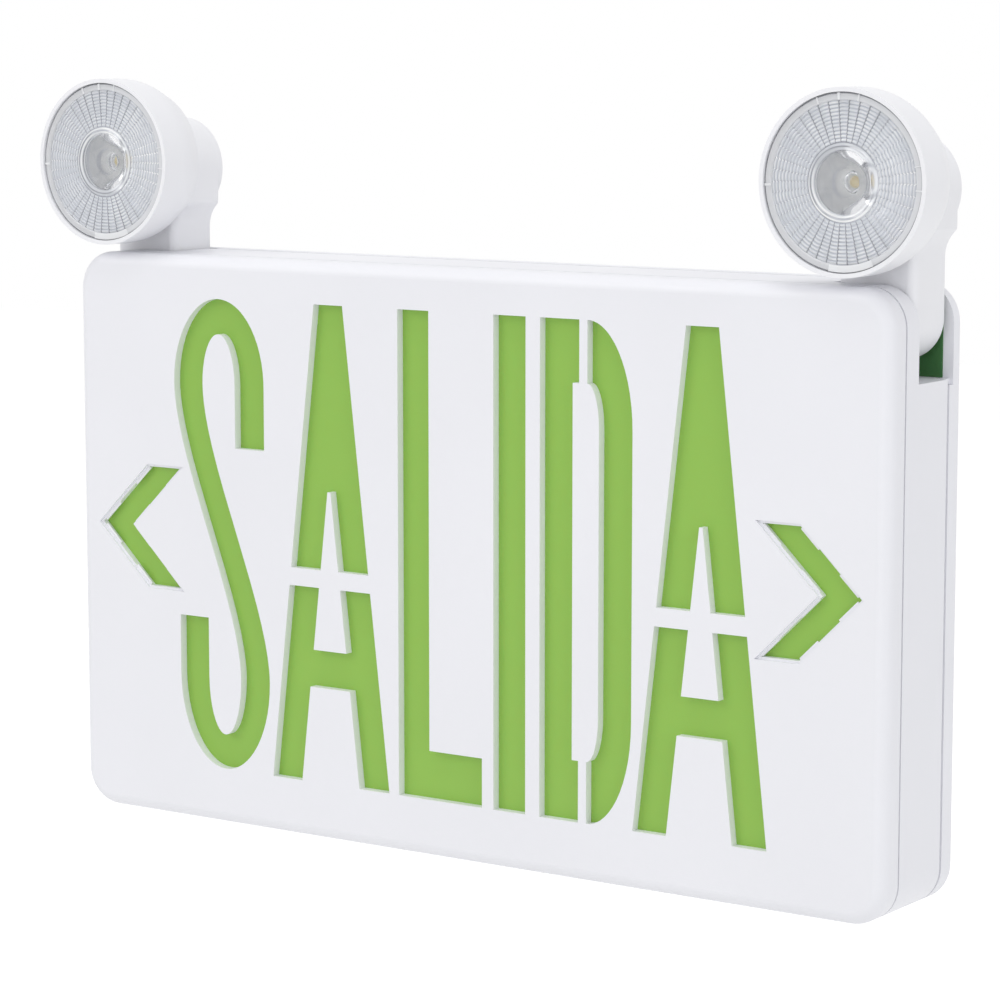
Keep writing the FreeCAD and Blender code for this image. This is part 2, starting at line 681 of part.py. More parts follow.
def corner_blocks(name, reach, start, length):
    """Two blocks over the casing's upper corners, grown inward by a reach."""
    made = []
    for side, sign in SIDES:
        wide, high = f"slot_side + ({reach})", f"slot_drop + ({reach})"
        x = f"{sign} * (width / 2 + 1 - ({wide} + 1) / 2)"
        z = f"height / 2 + 1 - ({high} + 1) / 2"
        made.append(block(f"{name}_{side}", x, z, start, f"{wide} + 1", f"{high} + 1", length))
    return made


def make_light_tray():
    """The white tray that carries the sign lights, clear of the arm pivots."""
    outer, inner = "side_wall + room_gap", "side_wall + room_gap + tray_wall"
    length = f"{FACE_BACK} - diffuser_rim - {LIGHT_BACK}"
    slab = rounded("tray_slab", outer, LIGHT_BACK, length)
    shape = cut("tray_shape", slab, *corner_blocks("tray_corner", "0", LIGHT_BACK, length))
    room_start = f"{LIGHT_BACK} + tray_wall"
    room = rounded("tray_room_slab", inner, room_start, f"{length} - tray_wall")
    room_corners = corner_blocks("tray_room_corner", "tray_wall", room_start, f"{length} - tray_wall")
    node(cut("light_tray", shape, cut("tray_room", room, *room_corners)), "light_tray")


def make_sign_lights():
    """Two boards on the tray with a row of small lights on each."""
    strips, chips = [], []
    strip_back = f"{LIGHT_BACK} + tray_wall"
    count = int(value("strip_length") // value("chip_pitch"))
    for row, way in (("low", -1), ("high", 1)):
        z = f"{way} * strip_rise"
        strips.append(block(f"strip_{row}", "0", z, strip_back, "strip_length", "strip_width", "strip_wall"))
        for number in range(count):
            x = f"{number - (count - 1) / 2} * chip_pitch"
            back = f"{strip_back} + strip_wall"
            chips.append(block(f"chip_{row}_{number}", x, z, back, "chip_size", "chip_size", "chip_wall"))
    node(group("sign_light_boards", *strips), "sign_light_boards")
    node(group("sign_lights", *chips), "sign_lights")


def slot_walls(side, sign):
    """The inner side and the floor of an arm slot."""
    length = "bulkhead - slot_back"
    high = "slot_drop + slot_wall - side_wall / 2"
    upright = block(f"slot_side_{side}", f"{sign} * ({SLOT_X} - slot_wall / 2)",
                    f"{SLOT_Z} - slot_wall + ({high}) / 2", "slot_back", "slot_wall", high, length)
    wide = "slot_side + slot_wall - side_wall / 2"
    floor = block(f"slot_floor_{side}", f"{sign} * ({SLOT_X} - slot_wall + ({wide}) / 2)",
                  f"{SLOT_Z} - slot_wall / 2", "slot_back", wide, "slot_wall", length)
    return [upright, floor]


def screw_places():
    """Where the four casing screws are."""
    for side, sign in SIDES:
        yield f"low_{side}", f"{sign} * (width / 2 - screw_low_side)", "-height / 2 + screw_inset"
        yield f"high_{side}", f"{sign} * (width / 2 - screw_high_side)", "height / 2 - screw_inset"


def post_places():
    """Where the four posts of the control board are."""
    for side, sign in SIDES:
        x = f"board_x + {sign} * (board_width / 2 - post_inset)"
        yield f"low_{side}", x, f"{BOARD_Z} - board_height / 2 + post_inset"
        yield f"high_{side}", x, f"{BOARD_Z} + board_height / 2 - post_inset"


def make_housing():
    """The white frame between the covers: side walls and the wall that carries everything."""
    slab = rounded("frame_slab", "0", FRAME_BACK, f"{FRAME_FRONT} - {FRAME_BACK}")
    front_room = rounded("frame_front_room", "side_wall", LIGHT_BACK, f"{FRAME_FRONT} - {LIGHT_BACK}")
    back_room = rounded("frame_back_room", "side_wall", FRAME_BACK, f"bulkhead - {FRAME_BACK}")
    tongue = ring("frame_tongue", "side_wall - tongue_wall", "side_wall", f"{FRAME_FRONT} - 1",
                  "front_seam + tongue_reach + 1")
    parts = [cut("frame_open", slab, front_room, back_room), tongue]
    holes = [ring("frame_rebate", "side_wall - tongue_wall - fit_gap", "side_wall + fit_gap",
                  FRAME_BACK, "tongue_reach + fit_gap")]
    for side, sign in SIDES:
        parts += slot_walls(side, sign)
        holes.append(rod(f"pivot_hole_{side}", f"{sign} * {PIVOT_X}", PIVOT_Z, "bulkhead - 1",
                         "pivot_radius + run_gap", "bulkhead_wall + 2"))
    holes += corner_blocks("frame_slot", "0", "slot_back - 1", "bulkhead - slot_back + 1")
    for place, x, z in screw_places():
        parts.append(rod(f"boss_{place}", x, z, "back_wall", "boss_radius", "bulkhead - back_wall"))
        tip = "screw_sink + screw_head_wall + screw_length"
        holes.append(rod(f"boss_hole_{place}", x, z, "back_wall - 1", "screw_radius + run_gap",
                         f"{tip} + screw_room - back_wall + 1"))
    for place, x, z in post_places():
        parts.append(rod(f"post_{place}", x, z, BOARD_FRONT, "post_radius", "post_height"))
        holes.append(rod(f"post_hole_{place}", x, z, f"{BOARD_FRONT} - 1", "small_screw + run_gap",
                         "small_screw_length - board_wall + screw_room + 1"))
    holes.append(post("button_hole", "button_x", "button_depth", "-height / 2 - 1",
                      "button_radius + 2 * run_gap", "side_wall + 2"))
    holes.append(post("light_hole", "light_x", "button_depth", "-height / 2 - 1",
                      "light_radius + run_gap", "side_wall + 2"))
    node(cut("housing", fuse("frame_whole", *parts), *holes), "housing")


def keyhole(side, sign):
    """A keyhole: a round end for the screw's head and a neck above it."""
    x, z, back = f"{sign} * keyhole_pitch / 2", "keyhole_rise", "-1"
    through = "back_wall + 2"
    head = rod(f"keyhole_head_{side}", x, z, back, "keyhole_head", through)
    neck = block(f"keyhole_neck_{side}", x, f"{z} + keyhole_length / 2", back, "2 * keyhole_neck",
                 "keyhole_length", through)
    top = rod(f"keyhole_top_{side}", x, f"{z} + keyhole_length", back, "keyhole_neck", through)
    return fuse(f"keyhole_{side}", head, neck, top)


def make_back_cover():
    """The plate that lies on the wall, with its rim, keyholes and supply entry."""
    slab = rounded("plate_slab", "0", "0", "back_cover_depth")
    round_edges(slab, "plate_edge", "back_edge_radius", lies_at("0"))
    tongue = ring("plate_tongue", "side_wall - tongue_wall", "side_wall", "back_cover_depth - 1",
                  "back_seam + tongue_reach + 1")
    room_slab = rounded("plate_room_slab", "side_wall", "back_wall", "back_cover_depth - back_wall")
    room = cut("plate_room", room_slab,
               *corner_blocks("plate_pad", "2 * slot_wall + fit_gap", "back_wall", "back_cover_depth"))
    notch = corner_blocks("plate_notch", "slot_wall + fit_gap", "slot_back",
                          "back_cover_depth + back_seam + tongue_reach")
    holes = [room, *notch, rod("entry_hole", "0", "entry_rise", "-1", "entry_radius", "back_wall + 2")]
    for side, sign in SIDES:
        holes.append(keyhole(side, sign))
        holes.append(rod(f"box_hole_{side}", f"{sign} * box_pitch / 2", "entry_rise", "-1", "box_hole",
                         "back_wall + 2"))
    for place, x, z in screw_places():
        holes.append(rod(f"screw_hole_{place}", x, z, "-1", "screw_radius + fit_gap", "back_wall + 2"))
        holes.append(rod(f"screw_sink_{place}", x, z, "-1", "screw_head + fit_gap",
                         "screw_head_wall + screw_sink + 1"))
    node(cut("back_cover", fuse("plate_whole", slab, tongue), *holes), "back_cover")


def screw(name, x, z, head_back, head_radius, head_thick, shank_radius, shank_length):
    """A round-headed screw that points forward."""
    head = rod(f"{name}_head", x, z, head_back, head_radius, head_thick)
    shank = rod(f"{name}_shank", x, z, f"{head_back} + {head_thick}", shank_radius, shank_length)
    return fuse(name, head, shank)


def make_screws():
    """The casing screws, and the screws of the control board."""
    casing = [screw(f"screw_{place}", x, z, "screw_sink", "screw_head", "screw_head_wall", "screw_radius",
                    "screw_length") for place, x, z in screw_places()]
    node(group("casing_screws", *casing), "casing_screws")
    small = [screw(f"board_screw_{place}", x, z, f"{BOARD_BACK} - small_screw_head_wall",
                   "small_screw_head", "small_screw_head_wall", "small_screw", "small_screw_length")
             for place, x, z in post_places()]
    node(group("board_screws", *small), "board_screws")


def make_bushing():
    """The soft bushing in the supply entry."""
    sleeve = rod("bushing_sleeve", "0", "entry_rise", "0", "entry_radius - fit_gap",
                 "back_wall + bushing_reach")
    flange = rod("bushing_lip", "0", "entry_rise", "back_wall", "entry_radius + bushing_flange",
                 "bushing_flange")
    way = rod("bushing_way", "0", "entry_rise", "-1", "entry_radius - fit_gap - bushing_wall",
              "back_wall + bushing_reach + 2")
    node(cut("entry_bushing", fuse("bushing_whole", sleeve, flange), way), "entry_bushing")


# ---- electronics ----


def make_control_board():
    """The board on its posts, with the pieces on its back."""
    panel = block("board_panel", "board_x", BOARD_Z, BOARD_BACK, "board_width", "board_height", "board_wall")
    holes = [rod(f"board_hole_{place}", x, z, f"{BOARD_BACK} - 1", "small_screw + run_gap",
                 "board_wall + 2") for place, x, z in post_places()]
    node(cut("control_board", panel, *holes), "control_board")
    left = "board_x - board_width / 2"
    top = f"{BOARD_Z} + board_height / 2"
    node(block("transformer", f"{left} + transformer_x", f"{BOARD_Z} - transformer_drop",
               f"{BOARD_BACK} - transformer_thick",
               "transformer_width", "transformer_height", "transformer_thick"), "transformer")
    node(block("relay", f"{left} + relay_x", f"{BOARD_Z} - relay_drop",
               f"{BOARD_BACK} - relay_thick", "relay_width",
               "relay_height", "relay_thick"), "relay")
    node(block("terminal_block", f"{left} + terminal_x", f"{top} - terminal_drop",
               f"{BOARD_BACK} - terminal_thick",
               "terminal_width", "terminal_height", "terminal_thick"), "terminal_block")
    cans = [rod(f"capacitor_{number}", f"{left} + capacitor_x", f"{BOARD_Z} + {number} * capacitor_pitch",
                f"{BOARD_BACK} - capacitor_length", "capacitor_radius", "capacitor_length")
            for number in (-1, 0, 1)]
    node(group("capacitors", *cans), "capacitors")


def make_battery():
    """Four cells against the bulkhead, held by a clip."""
    pitch = "(2 * cell_radius + cell_gap)"
    cells = []
    for number in range(4):
        cell = doc.addObject("Part::Cylinder", f"cell_{number}")
        cell.Placement.Rotation = FreeCAD.Rotation(FreeCAD.Vector(0, 1, 0), 90)
        bind(cell, Radius="cell_radius", Height="cell_length", X="battery_x - cell_length / 2",
             Y="cell_radius - bulkhead", Z=f"{BATTERY_Z} + {number - 1.5} * {pitch}")
        cells.append(cell)
    node(group("battery_cells", *cells), "battery_cells")
    inside = f"4 * {pitch} - cell_gap"
    back = "bulkhead - 2 * cell_radius"
    outer = block("clip_outer", "battery_x", BATTERY_Z, f"{back} - clip_wall", "clip_width",
                  f"{inside} + 2 * clip_wall", "2 * cell_radius + clip_wall")
    inner = block("clip_inner", "battery_x", BATTERY_Z, back, "clip_width + 2", inside,
                  "2 * cell_radius + 1")
    node(cut("battery_clip", outer, inner), "battery_clip")


def make_test_button():
    """The sprung test button in the casing's bottom, its switch and the charge light."""
    face = "-height / 2 + button_recess"
    cap = post("button_cap", "button_x", "button_depth", face, "button_radius",
               "side_wall - button_recess + button_flange_wall")
    flange = post("button_lip", "button_x", "button_depth", FLOOR_TOP, "button_flange",
                  "button_flange_wall")
    stem = post("button_rod", "button_x", "button_depth", SPRING_FOOT, "button_stem",
                "spring_length - button_travel - run_gap")
    node(fuse("test_button", cap, flange, stem), "test_button")
    node(drawn("test_button_spring", spring()), "test_button_spring")
    half = "(bulkhead - button_depth)"
    node(block("test_switch", "button_x", f"{SWITCH_FOOT} + switch_height / 2", f"bulkhead - 2 * {half}",
               "switch_width", "switch_height", f"2 * {half}"), "test_switch")
    board_z = f"{SWITCH_FOOT} + switch_height + board_wall / 2"
    node(block("test_board", "(button_x + light_x) / 2", board_z, f"bulkhead - 2 * {half}",
               "test_board_width", "board_wall", f"2 * {half}"), "test_board")
    light_foot = "-height / 2 + button_recess"
    node(post("charge_light", "light_x", "button_depth", light_foot, "light_radius", "light_length"),
         "charge_light")
    lamp_foot = f"{light_foot} + light_length"
    node(post("charge_lamp", "light_x", "button_depth", lamp_foot, "charge_lamp_radius",
              f"{SWITCH_FOOT} + switch_height - ({lamp_foot})"), "charge_lamp")


def spring():
    """A coil between the button's flange and the switch."""
    wire, radius, pitch = value("spring_wire"), value("spring_radius"), value("spring_pitch")
    path = Part.makeLongHelix(pitch, value("spring_length") - 2 * wire, radius)
    climb = math.atan2(pitch, 2 * math.pi * radius)
    along = FreeCAD.Vector(0, math.cos(climb), math.sin(climb))
    section = Part.Wire(Part.makeCircle(wire, FreeCAD.Vector(radius, 0, 0), along))
    coil = Part.Wire(path.Edges).makePipeShell([section], True, True)
    coil.translate(FreeCAD.Vector(value("button_x"), -value("button_depth"), value(SPRING_FOOT) + wire))
    return coil


# ---- arms ----


def arm_path(sign, inset):
    """The arm seen from the front: neck, flare and round hub, inset all round."""
    middle, foot = f"{sign} * {ARM_X}", PIVOT_Z
    neck, hub = f"(neck_width / 2 - ({inset}))", f"(hub_radius - ({inset}))"
    low, top = f"{foot} + flare_low", f"{foot} + hub_rise"
    curve = f"(flare_radius + ({inset}))"
    # The flare's hollow curve is centred outside the neck, level with its own low end.
    high = f"{low} + sqrt({curve} ^ 2 - ({curve} + {neck} - {hub}) ^ 2)"
    return [
        (f"{middle} + {neck}", low),
        (f"{middle} + {hub}", high, curve, "in"),
        (f"{middle} + {hub}", top),
        (middle, f"{top} + {hub}", hub, "out"),
        (f"{middle} - {hub}", top, hub, "out"),
        (f"{middle} - {hub}", high),
        (f"{middle} - {neck}", low, curve, "in"),
        (f"{middle} - {neck}", foot),
        (middle, f"{foot} - {neck}", neck, "out"),
        (f"{middle} + {neck}", foot, neck, "out"),
    ]


def is_flare_corner(edge):
    """Whether an edge is the corner between an arm's flare and its hub."""
    rise = edge.BoundBox.ZMin - value(PIVOT_Z)
    return runs_deep(edge) and value("flare_low") + 0.1 < rise < value("hub_rise") - 0.1


def make_arm(side, sign):
    """The arm's shell and cover, its pivot tube, nut and friction washer."""
    x, pivot = f"{sign} * {ARM_X}", f"{sign} * {PIVOT_X}"
    shell = pad(f"arm_body_{side}", SEAM, f"arm_front - {SEAM}", arm_path(sign, "0"))
    round_edges(shell, f"flare_corner_{side}", "flare_corner", is_flare_corner)
    round_edges(shell, f"arm_edge_{side}", "arm_edge", lies_at("arm_front"))
    hollow(shell, f"arm_room_{side}", SEAM, f"arm_front - arm_wall - {SEAM}", arm_path(sign, "arm_wall"))
    seat = f"({YOKE_HALF} + side_gap)"
    hub_z = f"{PIVOT_Z} + hub_rise"
    roof = f"({hub_z} + hub_radius - arm_wall / 2 - {LAMP_Z} - {seat})"
    top_seat = post(f"yoke_seat_high_{side}", x, "hinge_depth", f"{LAMP_Z} + {seat}", "2 * yoke_pin", roof)
    low_seat = block(f"yoke_seat_low_{side}", x, f"{LAMP_Z} - {seat} - (yoke_pin_reach + side_gap) / 2",
                     SEAM, "2 * hub_radius - arm_wall", "yoke_pin_reach + side_gap",
                     f"arm_front - arm_wall / 2 - {SEAM}")
    whole = fuse(f"arm_whole_{side}", shell, top_seat, low_seat)
    pin_hole = post(f"yoke_hole_{side}", x, "hinge_depth",
                    f"{LAMP_Z} - {seat} - 2 * yoke_pin_reach", "yoke_pin + run_gap",
                    f"2 * {seat} + 3 * yoke_pin_reach + side_gap")
    mouth = rod(f"hub_mouth_{side}", x, LAMP_Z, "arm_front - arm_wall - 1", "hub_mouth", "arm_wall + 2")
    hole = rod(f"arm_hole_{side}", pivot, PIVOT_Z, "arm_front - arm_wall - 1", "pivot_radius + run_gap",
               "arm_wall + 2")
    node(cut(f"arm_shell_{side}", whole, pin_hole, mouth, hole), f"arm_shell_{side}")
    plate = pad(f"arm_plate_{side}", "neck_back", "arm_cover_wall", arm_path(sign, "0"))
    round_edges(plate, f"plate_corner_{side}", "flare_corner", is_flare_corner)
    boss = rod(f"hub_boss_{side}", x, hub_z, "hub_back", "hub_radius", "neck_back - hub_back")
    node(fuse(f"arm_cover_{side}", plate, boss), f"arm_cover_{side}")
    make_pivot(side, pivot)


def make_pivot(side, x):
    """The hollow tube that an arm turns on, its nut and its friction washer."""
    flange_back = "arm_front - arm_wall - pivot_flange_wall"
    tube_length = f"{LIGHT_BACK} + nut_wall - ({flange_back})"
    flange = rod(f"pivot_lip_{side}", x, PIVOT_Z, flange_back, "pivot_flange", "pivot_flange_wall")
    tube = rod(f"pivot_tube_{side}", x, PIVOT_Z, flange_back, "pivot_radius", tube_length)
    way = rod(f"pivot_way_{side}", x, PIVOT_Z, f"{flange_back} - 1", "pivot_bore", f"{tube_length} + 2")
    node(cut(f"arm_pivot_{side}", fuse(f"pivot_whole_{side}", flange, tube), way), f"arm_pivot_{side}")
    for name, start, radius, thick in (
            ("arm_nut", LIGHT_BACK, "pivot_flange", "nut_wall"),
            ("arm_washer", "arm_front", "washer_radius", "bulkhead - arm_front")):
        disc = rod(f"{name}_disc_{side}", x, PIVOT_Z, start, radius, thick)
        hole = rod(f"{name}_hole_{side}", x, PIVOT_Z, f"{start} - 1", "pivot_radius + run_gap",
                   f"{thick} + 2")
        node(cut(f"{name}_{side}", disc, hole), f"{name}_{side}")


def make_yoke(side, sign):
    """The frame inside the hub that lets the lamp turn sideways, and its tilt pin."""
    x = f"{sign} * {ARM_X}"
    back = "hinge_depth - yoke_thick / 2"
    frame = block(f"yoke_frame_{side}", x, LAMP_Z, back, YOKE_WIDTH, f"2 * {YOKE_HALF}", "yoke_thick")
    space = block(f"yoke_space_{side}", x, LAMP_Z, f"{back} - 1", "stem_width + 2 * side_gap", "yoke_space",
                  "yoke_thick + 2")
    reach = "yoke_pin_reach + side_gap"
    pins = [post(f"yoke_pin_high_{side}", x, "hinge_depth", f"{LAMP_Z} + {YOKE_HALF}", "yoke_pin", reach),
            post(f"yoke_pin_low_{side}", x, "hinge_depth", f"{LAMP_Z} - {YOKE_HALF} - ({reach})", "yoke_pin",
                 reach)]
    hole = crosswise(f"yoke_bore_{side}", x, LAMP_Z, "tilt_pin + run_gap", f"{YOKE_WIDTH} + 2")
    open_frame = cut(f"yoke_open_{side}", frame, space, hole)
    node(fuse(f"lamp_yoke_{side}", open_frame, *pins), f"lamp_yoke_{side}")
    node(crosswise(f"tilt_pin_{side}", x, LAMP_Z, "tilt_pin", YOKE_WIDTH), f"tilt_pin_{side}")


def crosswise(name, x, z, radius, length):
    """A cylinder along X through the lamp's turning centre."""
    item = doc.addObject("Part::Cylinder", name)
    item.Placement.Rotation = FreeCAD.Rotation(FreeCAD.Vector(0, 1, 0), 90)
    bind(item, Radius=radius, Height=length)
    return bind(item, X=f"{x} - ({length}) / 2", Y="-hinge_depth", Z=z)


# ---- lamp heads ----


def make_cup(side, sign):
    """The white lamp cup, hollow in its back, where it clears the hub and the neck as it turns."""
    inner = "cup_radius - cup_wall - lens_ledge"
    seat = "cup_radius - cup_wall"
    cup = spin(f"cup_body_{side}", [
        ("0", DISH_DEPTH), ("dish_floor", DISH_DEPTH), ("dish_mouth", "cup_back"),
        ("cup_tail_radius", "cup_back"), ("cup_radius", "cup_shoulder"), ("cup_radius", "cup_front"),
        (seat, "cup_front"), (seat, LENS_BACK), (inner, LENS_BACK), (inner, "cup_floor"),
        ("0", "cup_floor")])
    radius = value("cup_radius")
    at_shoulder = lies_at("cup_shoulder")
    round_edges(cup, f"cup_shoulder_{side}", "cup_round",
                lambda edge: at_shoulder(edge) and abs(edge.BoundBox.XMax - radius) < 1e-3)
    bind(cup, X=f"{sign} * {ARM_X}", Z=LAMP_Z)
    way = block(f"stem_way_{side}", f"{sign} * {ARM_X}", LAMP_Z, f"{DISH_DEPTH} - 1",
                "stem_width", "stem_height", "cup_floor_wall + 2")
    notch = block(f"neck_notch_{side}", f"{sign} * {ARM_X}", f"{LAMP_Z} - cup_radius", "cup_back - 1",
                  "2 * (hub_radius + notch_gap)", "2 * cup_radius", f"{DISH_DEPTH} - cup_back + 1")
    node(cut(f"lamp_cup_{side}", cup, way, notch), f"lamp_cup_{side}")


def make_stem(side, sign):
    """The stem that carries the cup: an eye on the tilt pin, a bar and a flange."""
    x = f"{sign} * {ARM_X}"
    eye = crosswise(f"stem_eye_{side}", x, LAMP_Z, "eye_radius", "stem_width")
    shank = block(f"stem_bar_{side}", x, LAMP_Z, "hinge_depth", "stem_width", "stem_height",
                  "cup_floor - hinge_depth + stem_flange_wall")
    flange = rod(f"stem_flange_{side}", x, LAMP_Z, "cup_floor", "stem_flange", "stem_flange_wall")
    bore = crosswise(f"stem_bore_{side}", x, LAMP_Z, "tilt_pin + run_gap", "stem_width + 2")
    node(cut(f"lamp_stem_{side}", fuse(f"stem_whole_{side}", eye, shank, flange), bore), f"lamp_stem_{side}")


def make_lamp(side, sign):
    """What is inside a cup: heat sink, board, emitter, optic and lens."""
    x = f"{sign} * {ARM_X}"
    sink = rod(f"sink_disc_{side}", x, LAMP_Z, "cup_floor", "sink_radius", "stem_flange_wall + sink_wall")
    sink_room = rod(f"sink_room_{side}", x, LAMP_Z, "cup_floor - 1", "stem_flange + side_gap",
                    "stem_flange_wall + 1")
    node(cut(f"heat_sink_{side}", sink, sink_room), f"heat_sink_{side}")
    node(rod(f"lamp_board_{side}", x, LAMP_Z, SINK_FRONT, "lamp_board_radius", "lamp_board_wall"),
         f"lamp_board_{side}")
    node(block(f"lamp_emitter_{side}", x, LAMP_Z, EMITTER_BACK, "emitter_size", "emitter_size",
               "emitter_wall"), f"lamp_emitter_{side}")
    optic = doc.addObject("Part::Cone", f"lamp_optic_{side}")
    optic.Placement.Rotation = FreeCAD.Rotation(FreeCAD.Vector(1, 0, 0), 90)
    bind(optic, Radius1="optic_base", Radius2="optic_radius",
         Height=f"{LENS_BACK} - {EMITTER_BACK} - emitter_wall")
    bind(optic, X=x, Y=f"-({EMITTER_BACK} + emitter_wall)", Z=LAMP_Z)
    node(optic, f"lamp_optic_{side}")
    front = f"{LENS_BACK} + lens_wall"
    band = f"{LENS_RADIUS} - lens_band"
    lens = spin(f"lens_body_{side}", [
        ("0", LENS_BACK), (LENS_RADIUS, LENS_BACK), (LENS_RADIUS, front), (band, front),
        (band, f"{front} - lens_relief"), ("optic_radius", f"{front} - lens_relief"),
        ("optic_radius", front), ("0", front)])
    bind(lens, X=x, Z=LAMP_Z)
    node(lens, f"lamp_lens_{side}")


# ---- the whole part ----


def build():
    """Makes every sub-part."""
    fill_sheet()
    make_front_cover()
    make_diffuser()
    make_light_tray()
    make_sign_lights()
    make_housing()
    make_back_cover()
    make_screws()
    make_bushing()
    make_control_board()
    make_battery()
    make_test_button()
    for side, sign in SIDES:
        make_arm(side, sign)
        make_yoke(side, sign)
        make_cup(side, sign)
        make_stem(side, sign)
        make_lamp(side, sign)
    doc.recompute()


def check():
    """Stops if an object failed or a sub-part has no sound shape."""
    for item in doc.Objects:
        if {"Invalid", "Error"} & set(item.State):
            raise RuntimeError(f"{item.Label} failed: {item.State}")
    for item in nodes:
        if item.Shape.isNull() or not item.Shape.isValid():
            raise RuntimeError(f"{item.Label} has no sound shape")


def write():
    """Writes each sub-part to a STEP file that has its name."""
    os.makedirs("parts", exist_ok=True)
    for item in nodes:
        item.Shape.exportStep(os.path.join("parts", f"{item.Label}.step"))


build()
check()
write()
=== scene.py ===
"""Dresses the exit light: finishes for its solids, and detailed lamps, screws and button around them."""

import itertools
import math

import bmesh
import bpy
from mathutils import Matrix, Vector


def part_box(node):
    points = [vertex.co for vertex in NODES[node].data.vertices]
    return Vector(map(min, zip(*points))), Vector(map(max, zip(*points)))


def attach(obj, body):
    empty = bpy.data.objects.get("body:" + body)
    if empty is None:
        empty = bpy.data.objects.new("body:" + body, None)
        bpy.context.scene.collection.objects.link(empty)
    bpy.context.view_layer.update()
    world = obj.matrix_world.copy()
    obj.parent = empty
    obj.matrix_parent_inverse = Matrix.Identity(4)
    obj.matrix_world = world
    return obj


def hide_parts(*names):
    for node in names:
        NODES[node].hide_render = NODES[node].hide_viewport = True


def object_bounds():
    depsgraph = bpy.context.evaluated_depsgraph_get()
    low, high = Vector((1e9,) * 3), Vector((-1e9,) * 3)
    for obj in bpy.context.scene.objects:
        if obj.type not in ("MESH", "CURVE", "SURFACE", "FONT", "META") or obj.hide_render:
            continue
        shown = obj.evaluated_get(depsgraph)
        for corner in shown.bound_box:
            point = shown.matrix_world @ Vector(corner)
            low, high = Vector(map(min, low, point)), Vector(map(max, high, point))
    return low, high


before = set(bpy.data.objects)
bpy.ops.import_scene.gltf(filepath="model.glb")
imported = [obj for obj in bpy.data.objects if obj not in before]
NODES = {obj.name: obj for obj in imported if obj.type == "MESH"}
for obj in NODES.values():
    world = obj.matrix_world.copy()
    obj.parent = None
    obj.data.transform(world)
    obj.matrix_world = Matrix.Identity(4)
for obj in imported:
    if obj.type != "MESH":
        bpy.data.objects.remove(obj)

bl_info = {
    "name": "Exit Light Maker",
    "version": (1, 0, 0),
    "blender": (4, 5, 0),
    "location": "3D View > Sidebar > Exit Light",
    "description": "Builds the finishes, lamps and small parts of a wall exit light around its solid frame",
    "category": "Object",
}

MM = 0.001
SIDES = ("left", "right")
LOW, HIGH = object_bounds()
LENS_LOW, LENS_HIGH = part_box("lamp_lens_right")
OPTIC_LOW, OPTIC_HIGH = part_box("lamp_optic_right")
CHIP_LOW, CHIP_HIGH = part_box("lamp_emitter_right")
SCREW_LOW, SCREW_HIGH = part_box("casing_screws")
BUTTON_LOW, BUTTON_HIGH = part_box("test_button")
FACE_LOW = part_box("front_cover")[0]
HOUSING_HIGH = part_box("housing")[1]
LAMP_MIDDLE = (LENS_LOW + LENS_HIGH) / 2
LENS_RADIUS = (LENS_HIGH.x - LENS_LOW.x) / 2
BUTTON_MIDDLE = (BUTTON_LOW + BUTTON_HIGH) / 2
FORWARD = (0.0, -1.0, 0.0)
ORIGIN = (0.0, 0.0, 0.0)
WHITE = (1.0, 1.0, 1.0)
PLASTIC_IOR = 1.49
SAME_POINT = 0.00001  # points nearer than this are one
SMOOTH_ANGLE = 35.0  # degrees up to which an edge looks round
FRONT_SHARE = 0.9  # a face this square to the front counts as a front face
BEVEL_STEPS = 2


# Sizes and colours a user would change

class ExitLightFinish(bpy.types.PropertyGroup):
    """Colours and surface grain of the moulded parts."""

    casing_colour: bpy.props.FloatVectorProperty(
        name="Casing colour", description="Colour of the moulded casing",
        subtype="COLOR", size=3, min=0.0, max=1.0, default=(0.835, 0.838, 0.88))
    arm_colour: bpy.props.FloatVectorProperty(
        name="Arm colour", description="Colour of the arms and lamp cups",
        subtype="COLOR", size=3, min=0.0, max=1.0, default=(0.86, 0.862, 0.892))
    sheet_colour: bpy.props.FloatVectorProperty(
        name="Sheet colour", description="Colour of the sheet behind the word and arrows",
        subtype="COLOR", size=3, min=0.0, max=1.0, default=(0.285, 0.515, 0.088))
    button_colour: bpy.props.FloatVectorProperty(
        name="Button colour", description="Colour of the test button",
        subtype="COLOR", size=3, min=0.0, max=1.0, default=(0.62, 0.03, 0.02))
    grain_size: bpy.props.FloatProperty(
        name="Grain size", description="Size of the fine grain on moulded plastic",
        unit="LENGTH", min=0.0001, max=0.005, default=0.0007, precision=5)
    grain_depth: bpy.props.FloatProperty(
        name="Grain depth", description="Depth of the fine grain on moulded plastic",
        unit="LENGTH", min=0.0, max=0.001, default=0.00002, precision=6)


